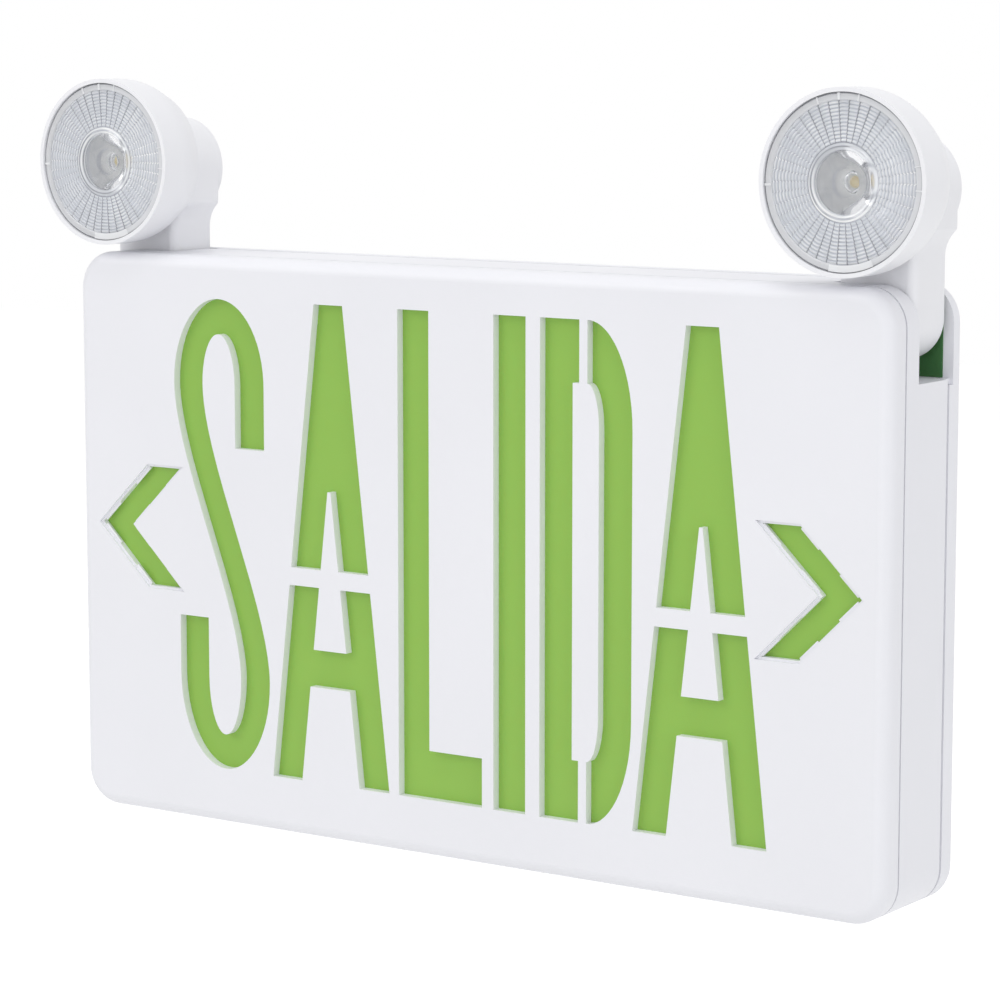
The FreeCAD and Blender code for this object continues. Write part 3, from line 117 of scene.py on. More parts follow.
class ExitLightLamp(bpy.types.PropertyGroup):
    """Form of the lamp lenses and the optics behind them."""

    sectors: bpy.props.IntProperty(
        name="Sectors", description="Number of ribbed sectors round a lens", min=8, max=96, default=42)
    ridges: bpy.props.IntProperty(
        name="Ridges", description="Number of ridges from the middle of a lens to its border",
        min=3, max=24, default=11)
    ridge_depth: bpy.props.FloatProperty(
        name="Ridge depth", description="Depth of the valleys between two ridges",
        unit="LENGTH", min=0.0, max=0.001, default=0.00034, precision=5)
    groove_depth: bpy.props.FloatProperty(
        name="Groove depth", description="Depth of the grooves between two sectors",
        unit="LENGTH", min=0.0, max=0.001, default=0.0003, precision=5)
    border: bpy.props.FloatProperty(
        name="Border", description="Width of the plain border of a lens",
        unit="LENGTH", min=0.0, max=0.01, default=0.0022, precision=4)
    window: bpy.props.FloatProperty(
        name="Window", description="Radius of the clear middle of a lens",
        unit="LENGTH", min=0.004, max=0.02, default=0.009, precision=4)
    ring: bpy.props.FloatProperty(
        name="Ring", description="Width of the rounded ring round the clear middle of a lens",
        unit="LENGTH", min=0.0005, max=0.006, default=0.0024, precision=4)
    stagger: bpy.props.FloatProperty(
        name="Stagger", description="How far the ridges step outward in every other sector",
        subtype="FACTOR", min=0.0, max=0.1, default=0.01, precision=3)
    tint: bpy.props.FloatVectorProperty(
        name="Lens tint", description="Colour of the clear plastic of the lenses",
        subtype="COLOR", size=3, min=0.0, max=1.0, default=(0.86, 0.89, 0.96))


class ExitLightStudio(bpy.types.PropertyGroup):
    """Floor, lamps and camera around the exit light."""

    floor_drop: bpy.props.FloatProperty(
        name="Floor drop", description="Height of the casing's bottom above the floor",
        unit="LENGTH", min=0.0, max=2.0, default=0.16)
    key_power: bpy.props.FloatProperty(
        name="Key power", description="Power of the large lamp at the front left",
        unit="POWER", min=0.0, max=500.0, default=8.4)
    side_power: bpy.props.FloatProperty(
        name="Side power", description="Power of the soft lamp at the right",
        unit="POWER", min=0.0, max=500.0, default=6.5)
    top_power: bpy.props.FloatProperty(
        name="Top power", description="Power of the soft lamp above",
        unit="POWER", min=0.0, max=500.0, default=8.0)
    low_power: bpy.props.FloatProperty(
        name="Low power", description="Power of the small lamp low at the front",
        unit="POWER", min=0.0, max=500.0, default=1.0)
    floor_glow: bpy.props.FloatProperty(
        name="Floor glow", description="How far the floor is lifted towards white where it is looked at",
        min=0.0, max=2.0, default=0.42)
    room_light: bpy.props.FloatProperty(
        name="Room light", description="Strength of the even light from the room",
        min=0.0, max=2.0, default=0.64)
    lens_length: bpy.props.FloatProperty(
        name="Focal length", description="Focal length of the camera", unit="CAMERA",
        min=20.0, max=400.0, default=125.8)
    camera_place: bpy.props.FloatVectorProperty(
        name="Camera place", description="Where the camera stands", subtype="TRANSLATION",
        unit="LENGTH", size=3, default=(0.61607, -0.90453, 0.1641))
    camera_turn: bpy.props.FloatVectorProperty(
        name="Camera turn", description="How the camera is turned", subtype="EULER", unit="ROTATION",
        size=3, default=(math.radians(82.318), 0.0, math.radians(34.756)))


# Modelling helpers

def sized(*points):
    """Points given in millimetres, as metres."""
    return [(radius * MM, place * MM) for radius, place in points]


def start(name, add, **settings):
    """Adds a primitive with nothing else selected, and opens it for editing."""
    bpy.ops.object.select_all(action="DESELECT")
    add(**settings)
    piece = bpy.context.object
    piece.name = name
    piece.data.name = name
    bpy.ops.object.mode_set(mode="EDIT")
    return piece


def pick(piece, test, kind="verts"):
    """Selects in edit mode only the vertices or faces that pass the test."""
    mesh = bmesh.from_edit_mesh(piece.data)
    bpy.ops.mesh.select_all(action="DESELECT")
    modes = {"verts": {"VERT"}, "faces": {"FACE"}}
    mesh.select_mode = modes[kind]
    for item in getattr(mesh, kind):
        item.select = bool(test(item))
    mesh.select_flush_mode()
    bmesh.update_edit_mesh(piece.data)


def faces_front(face):
    """Whether a face looks forward."""
    return face.normal.y < -FRONT_SHARE


def leave(piece, smooth=SMOOTH_ANGLE):
    """Closes the piece for editing and shades it smooth except at its corners."""
    bpy.ops.object.mode_set(mode="OBJECT")
    bpy.ops.object.select_all(action="DESELECT")
    piece.select_set(True)
    bpy.context.view_layer.objects.active = piece
    bpy.ops.object.transform_apply(location=True, rotation=True, scale=True)
    bpy.ops.object.shade_smooth_by_angle(angle=math.radians(smooth))
    return piece


def line(name, points):
    """A line through the points, all of it selected in edit mode."""
    piece = start(name, bpy.ops.mesh.primitive_plane_add, size=MM, location=ORIGIN)
    bpy.ops.mesh.merge(type="CENTER")
    bpy.ops.transform.translate(value=points[0])
    for before, here in zip(points, points[1:]):
        bpy.ops.mesh.extrude_region_move(TRANSFORM_OT_translate={"value": here - before})
    bpy.ops.mesh.select_all(action="SELECT")
    return piece


def turned(name, middle, axis, profile, steps):
    """Turns a profile of (radius, place along the axis) steps round an axis through the middle."""
    across = Vector((1.0, 0.0, 0.0))
    along = Vector(axis)
    points = [middle + across * radius + along * place for radius, place in profile]
    piece = line(name, points)
    bpy.ops.mesh.spin(steps=steps, angle=2.0 * math.pi, center=middle, axis=axis)
    bpy.ops.mesh.select_all(action="SELECT")
    bpy.ops.mesh.remove_doubles(threshold=SAME_POINT)
    bpy.ops.mesh.normals_make_consistent(inside=False)
    return piece


def block(name, middle, size, bevel=0.0):
    """A block with softened edges, open for more editing."""
    piece = start(name, bpy.ops.mesh.primitive_cube_add, size=1.0, location=ORIGIN)
    bpy.ops.transform.resize(value=size)
    bpy.ops.transform.translate(value=middle)
    if bevel:
        bpy.ops.mesh.bevel(offset=bevel, segments=BEVEL_STEPS, affect="EDGES")
    return piece


def turn_mesh(angle, middle):
    """Turns all of the piece in edit mode round a point, clockwise seen from the front."""
    bpy.ops.mesh.select_all(action="SELECT")
    # The tool turns the other way when it runs with no window
    bpy.ops.transform.rotate(value=-angle, orient_axis="Y", center_override=middle)


def copy_of(piece, name, shift):
    """A copy with its own mesh, moved inside that mesh."""
    bpy.ops.object.select_all(action="DESELECT")
    piece.select_set(True)
    bpy.context.view_layer.objects.active = piece
    bpy.ops.object.duplicate(linked=False)
    copy = bpy.context.object
    copy.name = name
    copy.data.name = name
    bpy.ops.object.mode_set(mode="EDIT")
    bpy.ops.mesh.select_all(action="SELECT")
    bpy.ops.transform.translate(value=shift)
    bpy.ops.object.mode_set(mode="OBJECT")
    return copy


def joined(name, pieces):
    """Makes several pieces one, under a new name."""
    bpy.ops.object.select_all(action="DESELECT")
    for piece in pieces:
        piece.select_set(True)
    bpy.context.view_layer.objects.active = pieces[0]
    bpy.ops.object.join()
    whole = bpy.context.object
    whole.name = name
    whole.data.name = name
    return whole


def carve(piece, tool):
    """Cuts the tool out of the piece and removes the tool."""
    bpy.ops.object.select_all(action="DESELECT")
    piece.select_set(True)
    bpy.context.view_layer.objects.active = piece
    cut = piece.modifiers.new("cut", "BOOLEAN")
    cut.operation = "DIFFERENCE"
    cut.solver = "EXACT"
    cut.object = tool
    bpy.ops.object.modifier_apply(modifier=cut.name)
    bpy.data.objects.remove(tool)


def settle(piece, material, body, slot, *stands_for):
    """Gives a finished piece its material and its body, and hides the solids it stands for; the slot is not
    used.
    """
    piece.data.materials.clear()
    piece.data.materials.append(material)
    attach(piece, body)
    if stands_for:
        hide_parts(*stands_for)


def other_side(piece, name):
    """The right lamp's piece again, at the left lamp."""
    return copy_of(piece, name, (-2.0 * LAMP_MIDDLE.x, 0.0, 0.0))


# Material helpers

class Finish:
    """One procedural material, put together from named steps."""

    def __init__(self, name):
        self.material = bpy.data.materials.new(name)
        self.material.use_nodes = True
        self.nodes = self.material.node_tree.nodes
        self.links = self.material.node_tree.links
        self.shader = self.nodes["Principled BSDF"]
        self.place = self.add("ShaderNodeTexCoord").outputs["Object"]

    def add(self, kind, inputs=None, **settings):
        """A node, with its settings, and with its inputs set or linked."""
        node = self.nodes.new(kind)
        for name, setting in settings.items():
            setattr(node, name, setting)
        for key, given in (inputs or {}).items():
            if isinstance(given, bpy.types.NodeSocket):
                self.links.new(given, node.inputs[key])
            else:
                node.inputs[key].default_value = given
        return node

    def math(self, operation, *given, clamp=False):
        """The result of one sum."""
        node = self.add("ShaderNodeMath", dict(enumerate(given)), operation=operation, use_clamp=clamp)
        return node.outputs[0]

    def both(self, first, second):
        """The product of two patterns, kept between 0 and 1."""
        return self.math("MULTIPLY", first, second, clamp=True)

    def noise(self, scale, detail=3.0, roughness=0.5, place=None):
        """A soft random pattern."""
        found = self.add("ShaderNodeTexNoise", {
            "Vector": place or self.place, "Scale": scale, "Detail": detail, "Roughness": roughness})
        return found.outputs["Fac"]

    def range(self, given, low, high, start_at=0.3, end_at=0.7):
        """A pattern spread from low to high."""
        found = self.add("ShaderNodeMapRange", {
            "Value": given, "From Min": start_at, "From Max": end_at, "To Min": low, "To Max": high})
        return found.outputs["Result"]

    def blend(self, share, first, second):
        """A colour between two others."""
        node = self.add("ShaderNodeMix", data_type="RGBA")
        for socket, given in ((node.inputs[0], share), (node.inputs[6], first), (node.inputs[7], second)):
            if isinstance(given, bpy.types.NodeSocket):
                self.links.new(given, socket)
            else:
                socket.default_value = given if isinstance(given, float) else (*given[:3], 1.0)
        return node.outputs[2]

    def put(self, socket, given):
        """Sets or links one socket of the shader."""
        if isinstance(given, bpy.types.NodeSocket):
            self.links.new(given, self.shader.inputs[socket])
        elif hasattr(given, "__len__"):
            self.shader.inputs[socket].default_value = (*given[:3], 1.0)
        else:
            self.shader.inputs[socket].default_value = given

    def bump(self, height, distance):
        """Raises the surface by a pattern."""
        found = self.add("ShaderNodeBump", {"Height": height, "Distance": distance, "Strength": 1.0})
        self.links.new(found.outputs["Normal"], self.shader.inputs["Normal"])

    def stretched(self, scale):
        """Places stretched along some axes, for brushed or drawn marks."""
        return self.add("ShaderNodeMapping", {"Vector": self.place, "Scale": scale}).outputs["Vector"]

    def centred(self, middle):
        """Places counted from a point."""
        move = [-number for number in middle]
        return self.add("ShaderNodeMapping", {"Vector": self.place, "Location": move}).outputs["Vector"]


def shaded(colour, share):
    """A colour made darker or lighter."""
    return tuple(min(1.0, part * share) for part in colour[:3])


def moulded(name, colour, roughness=0.42, mottle=0.012, grain=None, depth=None):
    """Injection-moulded plastic with a fine even grain and very faint flow marks."""
    sizes = bpy.context.scene.exit_light_finish
    finish = Finish(name)
    clouds = finish.noise(14.0, 2.0)
    finish.put("Base Color", finish.blend(
        finish.range(clouds, 0.0, 1.0), shaded(colour, 1.0 - mottle), shaded(colour, 1.0 + mottle)))
    finish.put("Roughness", finish.range(finish.noise(60.0, 4.0), roughness - 0.05, roughness + 0.05))
    finish.put("Specular IOR Level", 0.45)
    grains = finish.noise(1.0 / (grain or sizes.grain_size), 2.0, 0.6)
    finish.bump(grains, depth or sizes.grain_depth)
    return finish.material


def sheet_finish(name, colour):
    """Coloured translucent sheet with a faint satin face."""
    finish = Finish(name)
    streaks = finish.noise(9.0, 3.0, place=finish.stretched((1.0, 1.0, 0.3)))
    finish.put("Base Color", finish.blend(
        finish.range(streaks, 0.0, 1.0), shaded(colour, 0.985), shaded(colour, 1.015)))
    finish.put("Roughness", finish.range(finish.noise(120.0, 3.0), 0.38, 0.48))
    finish.put("Specular IOR Level", 0.3)
    finish.put("Subsurface Weight", 0.15)
    finish.put("Subsurface Scale", 0.002)
    finish.bump(finish.noise(900.0, 2.0), 0.000012)
    return finish.material


def metal_finish(name, colour, roughness, scratch):
    """Bare metal with fine drawn marks and slightly uneven shine."""
    finish = Finish(name)
    marks = finish.noise(1.0, 4.0, 0.6, place=finish.stretched(scratch))
    finish.put("Base Color", finish.blend(
        finish.range(marks, 0.0, 1.0), shaded(colour, 0.92), shaded(colour, 1.04)))
    finish.put("Metallic", 1.0)
    finish.put("Roughness", finish.range(marks, roughness - 0.07, roughness + 0.08))
    finish.bump(marks, 0.00001)
    return finish.material


def board_finish(name, colour, trace):
    """Circuit board with tracks that show faintly under its lacquer."""
    finish = Finish(name)
    cells = finish.add("ShaderNodeTexVoronoi", {
        "Vector": finish.place, "Scale": 160.0}, feature="DISTANCE_TO_EDGE")
    lines = finish.range(cells.outputs["Distance"], 1.0, 0.0, 0.02, 0.06)
    speckle = finish.range(finish.noise(40.0, 4.0), 0.9, 1.1)
    finish.put("Base Color", finish.blend(finish.both(lines, speckle), colour, trace))
    finish.put("Roughness", finish.range(finish.noise(200.0), 0.25, 0.4))
    finish.bump(lines, 0.00003)
    return finish.material


def rubber_finish(name, colour):
    """Dull soft rubber with a dusty bloom."""
    finish = Finish(name)
    bloom = finish.noise(180.0, 6.0, 0.65)
    finish.put("Base Color", finish.blend(
        finish.range(bloom, 0.0, 1.0), colour, shaded([part + 0.02 for part in colour], 1.1)))
    finish.put("Roughness", finish.range(bloom, 0.7, 0.9))
    finish.put("Specular IOR Level", 0.3)
    finish.bump(bloom, 0.00004)
    return finish.material


def clear_finish(name, colour, roughness=0.03, alpha=None):
    """Clear plastic: refracting, or a thin see-through skin where alpha is given."""
    finish = Finish(name)
    flow = finish.noise(90.0, 3.0)
    finish.put("Base Color", finish.blend(
        finish.range(flow, 0.0, 1.0), shaded(colour, 0.98), shaded(colour, 1.02)))
    finish.put("Roughness", finish.range(flow, roughness, roughness + 0.03))
    finish.put("IOR", PLASTIC_IOR)
    if alpha is None:
        finish.put("Transmission Weight", 1.0)
    else:
        finish.put("Alpha", alpha)
    finish.bump(flow, 0.000006)
    return finish.material


def rib_sizes(lamp):
    """The radii where a lens's ridges begin and end, and how far apart the ridges are."""
    inner, outer = lamp.window + lamp.ring, LENS_RADIUS - lamp.border
    return inner, outer, (outer - inner) / lamp.ridges


def lens_finish(name, middle):
    """Clear ribbed plastic, with painted highlights on the top of each ridge and as dots in the grooves at
    the sides, and painted shade between the ridges and in the grooves.
    """
    lamp = bpy.context.scene.exit_light_lamp
    inner, outer, pitch = rib_sizes(lamp)
    finish = Finish(name)
    parts = finish.add("ShaderNodeSeparateXYZ", {"Vector": finish.centred(middle)}).outputs
    across, up = parts["X"], parts["Z"]
    angle = finish.math("ARCTAN2", up, across)
    squares = finish.math("ADD", finish.math("MULTIPLY", across, across), finish.math("MULTIPLY", up, up))
    radius = finish.math("SQRT", squares)
    in_window = finish.math("LESS_THAN", radius, lamp.window)
    in_ring = finish.both(finish.math("LESS_THAN", radius, inner),
                          finish.math("GREATER_THAN", radius, lamp.window))
    in_ribs = finish.both(finish.math("GREATER_THAN", radius, inner),
                          finish.math("LESS_THAN", radius, outer))
    past_ribs = finish.math("SUBTRACT", radius, outer)
    in_border = finish.math("GREATER_THAN", past_ribs, 0.0)
    # Painted shadow: a thin dark line just inside the lens's outer edge
    edge_shadow_line = finish.range(past_ribs, 0.0, 0.8, lamp.border - 0.5 * MM, lamp.border - 0.25 * MM)

    # The ridges step outward in every other sector
    swing = finish.math("SINE", finish.math("MULTIPLY", angle, lamp.sectors / 2))
    even = finish.math("GREATER_THAN", swing, 0.0)
    settled = finish.math("DIVIDE", radius, finish.math("MULTIPLY_ADD", even, lamp.stagger, 1.0))
    steps = finish.math("MULTIPLY", finish.math("SUBTRACT", settled, inner), math.pi / pitch)
    ridge_wave = finish.math("ABSOLUTE", finish.math("SINE", steps))
    # Painted shade: the plastic between the ridges is coloured darker
    valley_shade = finish.both(finish.range(ridge_wave, 1.0, 0.0, 0.05, 0.7), in_ribs)
    # Painted highlight: the top of each ridge is coloured white
    crest_highlights = finish.both(finish.range(ridge_wave, 0.0, 1.0, 0.8, 0.98), in_ribs)

    # The grooves get painted shade above and below the middle, and are beaded with painted highlights at its
    # two sides
    grooves = finish.both(finish.range(finish.math("ABSOLUTE", swing), 1.0, 0.0, 0.06, 0.34), in_ribs)
    aside = finish.math("POWER", finish.math("DIVIDE", across, radius), 2.0)
    bead_highlights = finish.both(grooves, finish.range(ridge_wave, 0.0, 1.0, 0.5, 0.9))
    bead_highlights = finish.both(bead_highlights, finish.range(aside, 0.0, 1.0, 0.25, 0.6))

    # The ring round the window gets broken dark curves of painted reflection and painted glints
    turns = finish.math("MULTIPLY", finish.math("SUBTRACT", radius, lamp.window), 2.0 * math.pi / lamp.ring)
    ripple = finish.math("ABSOLUTE", finish.math("SINE", turns))
    dark_reflection_arcs = finish.both(finish.range(ripple, 1.0, 0.0, 0.1, 0.5), in_ring)
    dark_reflection_arcs = finish.both(dark_reflection_arcs, finish.range(finish.noise(75.0, 2.0), 0.0, 1.0, 0.5, 0.58))
    glints = finish.both(finish.range(ripple, 0.0, 1.0, 0.6, 0.9), in_ring)
    glints = finish.both(glints, finish.range(finish.noise(50.0, 2.0), 1.0, 0.2, 0.4, 0.6))

    uneven = finish.range(finish.noise(150.0, 3.0), 0.25, 1.0)
    patches = finish.range(finish.noise(70.0, 2.0), 0.0, 1.0, 0.42, 0.6)
    # Painted shade between the ridges, in the grooves and along the edge; painted highlights on the ridge
    # tops and groove dots; painted dark reflections and glints in the ring
    layers = (
        (finish.both(valley_shade, uneven), shaded(lamp.tint, 0.66)),
        (finish.both(crest_highlights, uneven), WHITE),
        (finish.both(grooves, finish.range(aside, 1.0, 0.35, 0.2, 0.6)), shaded(lamp.tint, 0.40)),
        (finish.both(bead_highlights, patches), WHITE),
        (in_border, (0.90, 0.91, 0.94)),
        (edge_shadow_line, shaded(lamp.tint, 0.35)),
        (dark_reflection_arcs, shaded(lamp.tint, 0.22)),
        (glints, WHITE),
    )
    base = lamp.tint
    for share, colour in layers:
        base = finish.blend(share, base, colour)
    finish.put("Base Color", base)
    finish.put("Roughness", finish.range(finish.noise(300.0), 0.06, 0.12))
    finish.put("IOR", PLASTIC_IOR)
    alpha = finish.both(in_ribs, finish.range(finish.noise(150.0), 0.52, 0.68))
    # The painted highlights and dark reflections also make the plastic less see-through
    solid = ((in_border, 0.68), (in_window, 0.14), (in_ring, 0.34),
             (bead_highlights, 0.3), (dark_reflection_arcs, 0.35), (glints, 0.45))
    for pattern, share in solid:
        alpha = finish.math("ADD", alpha, finish.math("MULTIPLY", pattern, share), clamp=True)
    finish.put("Alpha", alpha)
    return finish.material


def phosphor_finish(name):
    """Yellow phosphor of the light chip, with fine pale specks."""
    finish = Finish(name)
    specks = finish.noise(4000.0, 2.0)
    finish.put("Base Color", finish.blend(
        finish.range(specks, 0.0, 1.0), (0.72, 0.50, 0.06), (0.86, 0.66, 0.16)))
    finish.put("Roughness", finish.range(specks, 0.45, 0.6))
    finish.bump(specks, 0.00001)
    return finish.material


def make_finishes():
    """One finish for each material slot of the solids."""
    colours = bpy.context.scene.exit_light_finish
    return {
        "casing_white": moulded("casing_white_moulded", colours.casing_colour),
        "arm_white": moulded("arm_white_moulded", colours.arm_colour, 0.38),
        "green_sheet": sheet_finish("green_sheet_satin", colours.sheet_colour),
        "tray_white": moulded("tray_white_gloss", (0.86, 0.86, 0.86), 0.2, depth=0.000006),
        "board_green": board_finish("board_green_lacquer", (0.03, 0.22, 0.08), (0.08, 0.36, 0.14)),
        "board_white": board_finish("board_white_lacquer", (0.78, 0.78, 0.76), (0.70, 0.71, 0.70)),
        "light_chip": moulded("light_chip_ceramic", (0.80, 0.76, 0.55), 0.35, 0.05, 0.0003, 0.000008),
        "black_plastic": moulded("black_plastic_matt", (0.02, 0.02, 0.022), 0.5, 0.1),
        "terminal_green": moulded("terminal_green_plastic", (0.05, 0.30, 0.10), 0.4, 0.04),
        "transformer_steel": metal_finish("transformer_plate", (0.42, 0.43, 0.45), 0.42, (900.0, 60.0, 60.0)),
        "can_metal": metal_finish("can_drawn_metal", (0.72, 0.73, 0.75), 0.3, (40.0, 900.0, 40.0)),
        "cell_sleeve": moulded("cell_sleeve_film", (0.06, 0.22, 0.42), 0.3, 0.05, 0.002, 0.00001),
        "steel": metal_finish("zinc_plated_steel", (0.66, 0.68, 0.70), 0.34, (400.0, 400.0, 400.0)),
        "spring_steel": metal_finish("spring_wire_steel", (0.58, 0.59, 0.61), 0.28, (80.0, 80.0, 2500.0)),
        "pivot_nylon": moulded("pivot_nylon_white", (0.80, 0.80, 0.80), 0.5, 0.02),
        "washer_rubber": rubber_finish("bushing_rubber", (0.025, 0.025, 0.027)),
        "sink_metal": metal_finish("heat_sink_aluminium", (0.80, 0.81, 0.83), 0.36, (50.0, 50.0, 700.0)),
        "lens_clear": clear_finish("lens_plain_clear", (0.95, 0.97, 1.0), alpha=0.3),
        "optic_clear": clear_finish("optic_clear_plastic", (1.0, 1.0, 1.0), 0.0),
        "button_red": moulded("button_red_gloss", colours.button_colour, 0.25, 0.03, 0.0004, 0.000006),
        # The green sheet seen inside the arm slots, darkened with painted shade
        "liner_green": sheet_finish("liner_green_satin", (0.05, 0.16, 0.05)),
        "light_rod": clear_finish("light_rod_green", (0.25, 0.75, 0.30), 0.1),
    }


FINISHES = {}  # filled by the first step, for the steps after it


# Pieces

class EXITLIGHT_OT_finishes(bpy.types.Operator):
    """Gives every solid of the frame its own procedural finish"""

    bl_idname = "exit_light.finishes"
    bl_label = "Finish the solids"

    def execute(self, context):
        FINISHES.update(make_finishes())
        for node in NODES.values():
            for holder in node.material_slots:
                holder.material = FINISHES[holder.material.name]
        return {"FINISHED"}


class EXITLIGHT_OT_lenses(bpy.types.Operator):
    """Builds the ribbed lenses in the fronts of the lamp cups"""

    bl_idname = "exit_light.lenses"
    bl_label = "Ribbed lamp lenses"

    def profile(self, lamp):
        """The turned outline of a lens: (radius, depth forward of its back)."""
        wall = LENS_HIGH.y - LENS_LOW.y
        inner, outer, pitch = rib_sizes(lamp)
        edge, step, slack = 0.35 * MM, 0.3 * MM, 0.05 * MM
        ring_foot, ring_rise, pane_drop = 0.45 * MM, 0.6 * MM, 0.75 * MM
        ring_steps = 8
        points = [(0.0, 0.0), (outer, 0.0), (LENS_RADIUS, 0.0), (LENS_RADIUS, wall - edge),
                  (LENS_RADIUS - edge, wall), (outer + step, wall), (outer + slack, wall - step)]
        crest, valley = wall - 0.02 * MM, wall - lamp.ridge_depth
        ridge = ((0.92, valley), (0.66, crest - slack), (0.42, crest), (0.18, crest - 2.0 * slack))
        for number in reversed(range(lamp.ridges)):
            foot = inner + number * pitch
            points += [(foot + share * pitch, place) for share, place in ridge]
        points.append((inner - 0.05 * lamp.ring, wall - ring_foot))
        for number in range(1, ring_steps):
            turn = math.pi * number / ring_steps
            points.append((inner - lamp.ring * (0.5 - 0.45 * math.cos(turn)),
                           wall - ring_foot + ring_rise * math.sin(turn)))
        points += [(lamp.window, wall - ring_foot - slack), (lamp.window - step, wall - pane_drop),
                   (0.0, wall - pane_drop)]
        return points

    def execute(self, context):
        lamp = context.scene.exit_light_lamp
        middle = Vector((LAMP_MIDDLE.x, LENS_HIGH.y, LAMP_MIDDLE.z))
        inner, outer, pitch = rib_sizes(lamp)
        front_zone, groove_share, margin = 0.6 * MM, 0.1, 0.7 * pitch

        def sector(vertex):
            """How many sectors round a vertex is: a whole number in a groove."""
            turn = math.atan2(vertex.co.z - middle.z, vertex.co.x - middle.x)
            return turn * lamp.sectors / (2.0 * math.pi)

        def in_groove(vertex):
            return abs(sector(vertex) - round(sector(vertex))) < groove_share

        def on_ribs(vertex, room=0.0):
            reach = math.hypot(vertex.co.z - middle.z, vertex.co.x - middle.x)
            return inner + room < reach < outer - room and vertex.co.y < middle.y - front_zone

        def steps_out(vertex):
            return math.floor(sector(vertex)) % 2 == 0 and not in_groove(vertex)

        lens = turned("ribbed_lens_right", middle, FORWARD, self.profile(lamp), steps=4 * lamp.sectors)
        pick(lens, lambda vertex: on_ribs(vertex) and in_groove(vertex))
        bpy.ops.transform.translate(value=(0.0, lamp.groove_depth, 0.0))
        pick(lens, lambda vertex: on_ribs(vertex, margin) and steps_out(vertex))
        widen = 1.0 + lamp.stagger
        bpy.ops.transform.resize(value=(widen, 1.0, widen), center_override=middle)
        leave(lens, smooth=28.0)
        for side, piece in (("right", lens), ("left", other_side(lens, "ribbed_lens_left"))):
            place = Vector((LAMP_MIDDLE.x if side == "right" else -LAMP_MIDDLE.x, 0.0, LAMP_MIDDLE.z))
            settle(piece, lens_finish(f"ribbed_lens_clear_{side}", place), f"head_{side}", "lens_clear",
                   f"lamp_lens_{side}")
        return {"FINISHED"}


class EXITLIGHT_OT_lens_tabs(bpy.types.Operator):
    """Builds the small tabs that hold a lens in its cup"""

    bl_idname = "exit_light.lens_tabs"
    bl_label = "Lens tabs"

    def small(self, number, middle, clock, width):
        """A narrow tab, so many degrees clockwise from the lens's top."""
        reach = LENS_RADIUS - 1.1 * MM
        size = (width, 0.35 * MM, 2.0 * MM)
        tab = block(f"tab_{number}", middle + Vector((0.0, 0.0, reach)), size, 0.1 * MM)
        turn_mesh(math.radians(clock), middle)
        return leave(tab)

    def wide(self, middle, clock, span):
        """The wide tab at the bottom: a strip swept so many degrees round, with a short back edge."""
        top, deep, drop = 0.15 * MM, 0.3 * MM, 1.9 * MM
        first = middle + Vector((0.0, -0.12 * MM, top - LENS_RADIUS + drop))
        second = first - Vector((0.0, 0.0, drop))
        tab = line("tab_wide", [first, second, second + Vector((0.0, deep, 0.0))])
        turn_mesh(math.radians(clock), middle)
        bpy.ops.mesh.spin(steps=12, angle=math.radians(span), center=middle, axis=(0.0, 1.0, 0.0))
        bpy.ops.mesh.select_all(action="SELECT")
        bpy.ops.mesh.normals_make_consistent(inside=False)
        return leave(tab)

    def execute(self, context):
        middle = Vector((LAMP_MIDDLE.x, LENS_LOW.y - 0.12 * MM, LAMP_MIDDLE.z))
        narrow, medium, broad = 0.4 * MM, 0.45 * MM, 0.8 * MM
        places = ((-20.0, medium), (-3.5, broad), (11.5, medium), (78.0, narrow), (94.0, narrow),
                  (-92.5, 0.7 * MM))
        tabs = [self.small(number, middle, clock, width) for number, (clock, width) in enumerate(places)]
        tabs.append(self.wide(middle, clock=-24.0, span=-33.5))
        whole = joined("lens_tabs_right", tabs)
        finish = clear_finish("lens_tab_frosted", (0.93, 0.94, 0.96), 0.2, alpha=0.78)
        settle(whole, finish, "head_right", "lens_clear")
        settle(other_side(whole, "lens_tabs_left"), finish, "head_left", "lens_clear")
        return {"FINISHED"}


class EXITLIGHT_OT_optics(bpy.types.Operator):
    """Builds the clear collimator behind the middle of each lens"""

    bl_idname = "exit_light.optics"
    bl_label = "Middle optics"

    def execute(self, context):
        radius = (OPTIC_HIGH.x - OPTIC_LOW.x) / 2
        deep = OPTIC_HIGH.y - OPTIC_LOW.y
        foot, rim, clear = 0.4 * radius, 0.1 * MM, 0.02 * MM
        cone_steps = 5
        profile = sized((0.0, 1.9), (1.2, 1.75), (2.1, 1.3), (2.5, 0.02))
        profile.append((foot, clear))
        for number in range(1, cone_steps + 1):
            share = number / cone_steps
            profile.append((foot + (radius - 5.0 * rim - foot) * share ** 0.8, clear + (deep - MM) * share))
        profile += [(radius - rim, deep - 0.95 * MM), (radius - rim, deep - 0.05 * MM)]
        dish = sized((4.4, 0.05), (4.0, 1.5), (3.0, 0.95), (1.6, 0.6), (0.0, 0.5))
        profile += [(reach, deep - sunk) for reach, sunk in dish]
        middle = Vector((LAMP_MIDDLE.x, OPTIC_HIGH.y, LAMP_MIDDLE.z))
        optic = leave(turned("collimator_right", middle, FORWARD, profile, steps=64), smooth=40.0)
        for side, piece in (("right", optic), ("left", other_side(optic, "collimator_left"))):
            settle(piece, FINISHES["optic_clear"], f"head_{side}", "optic_clear", f"lamp_optic_{side}")
        return {"FINISHED"}


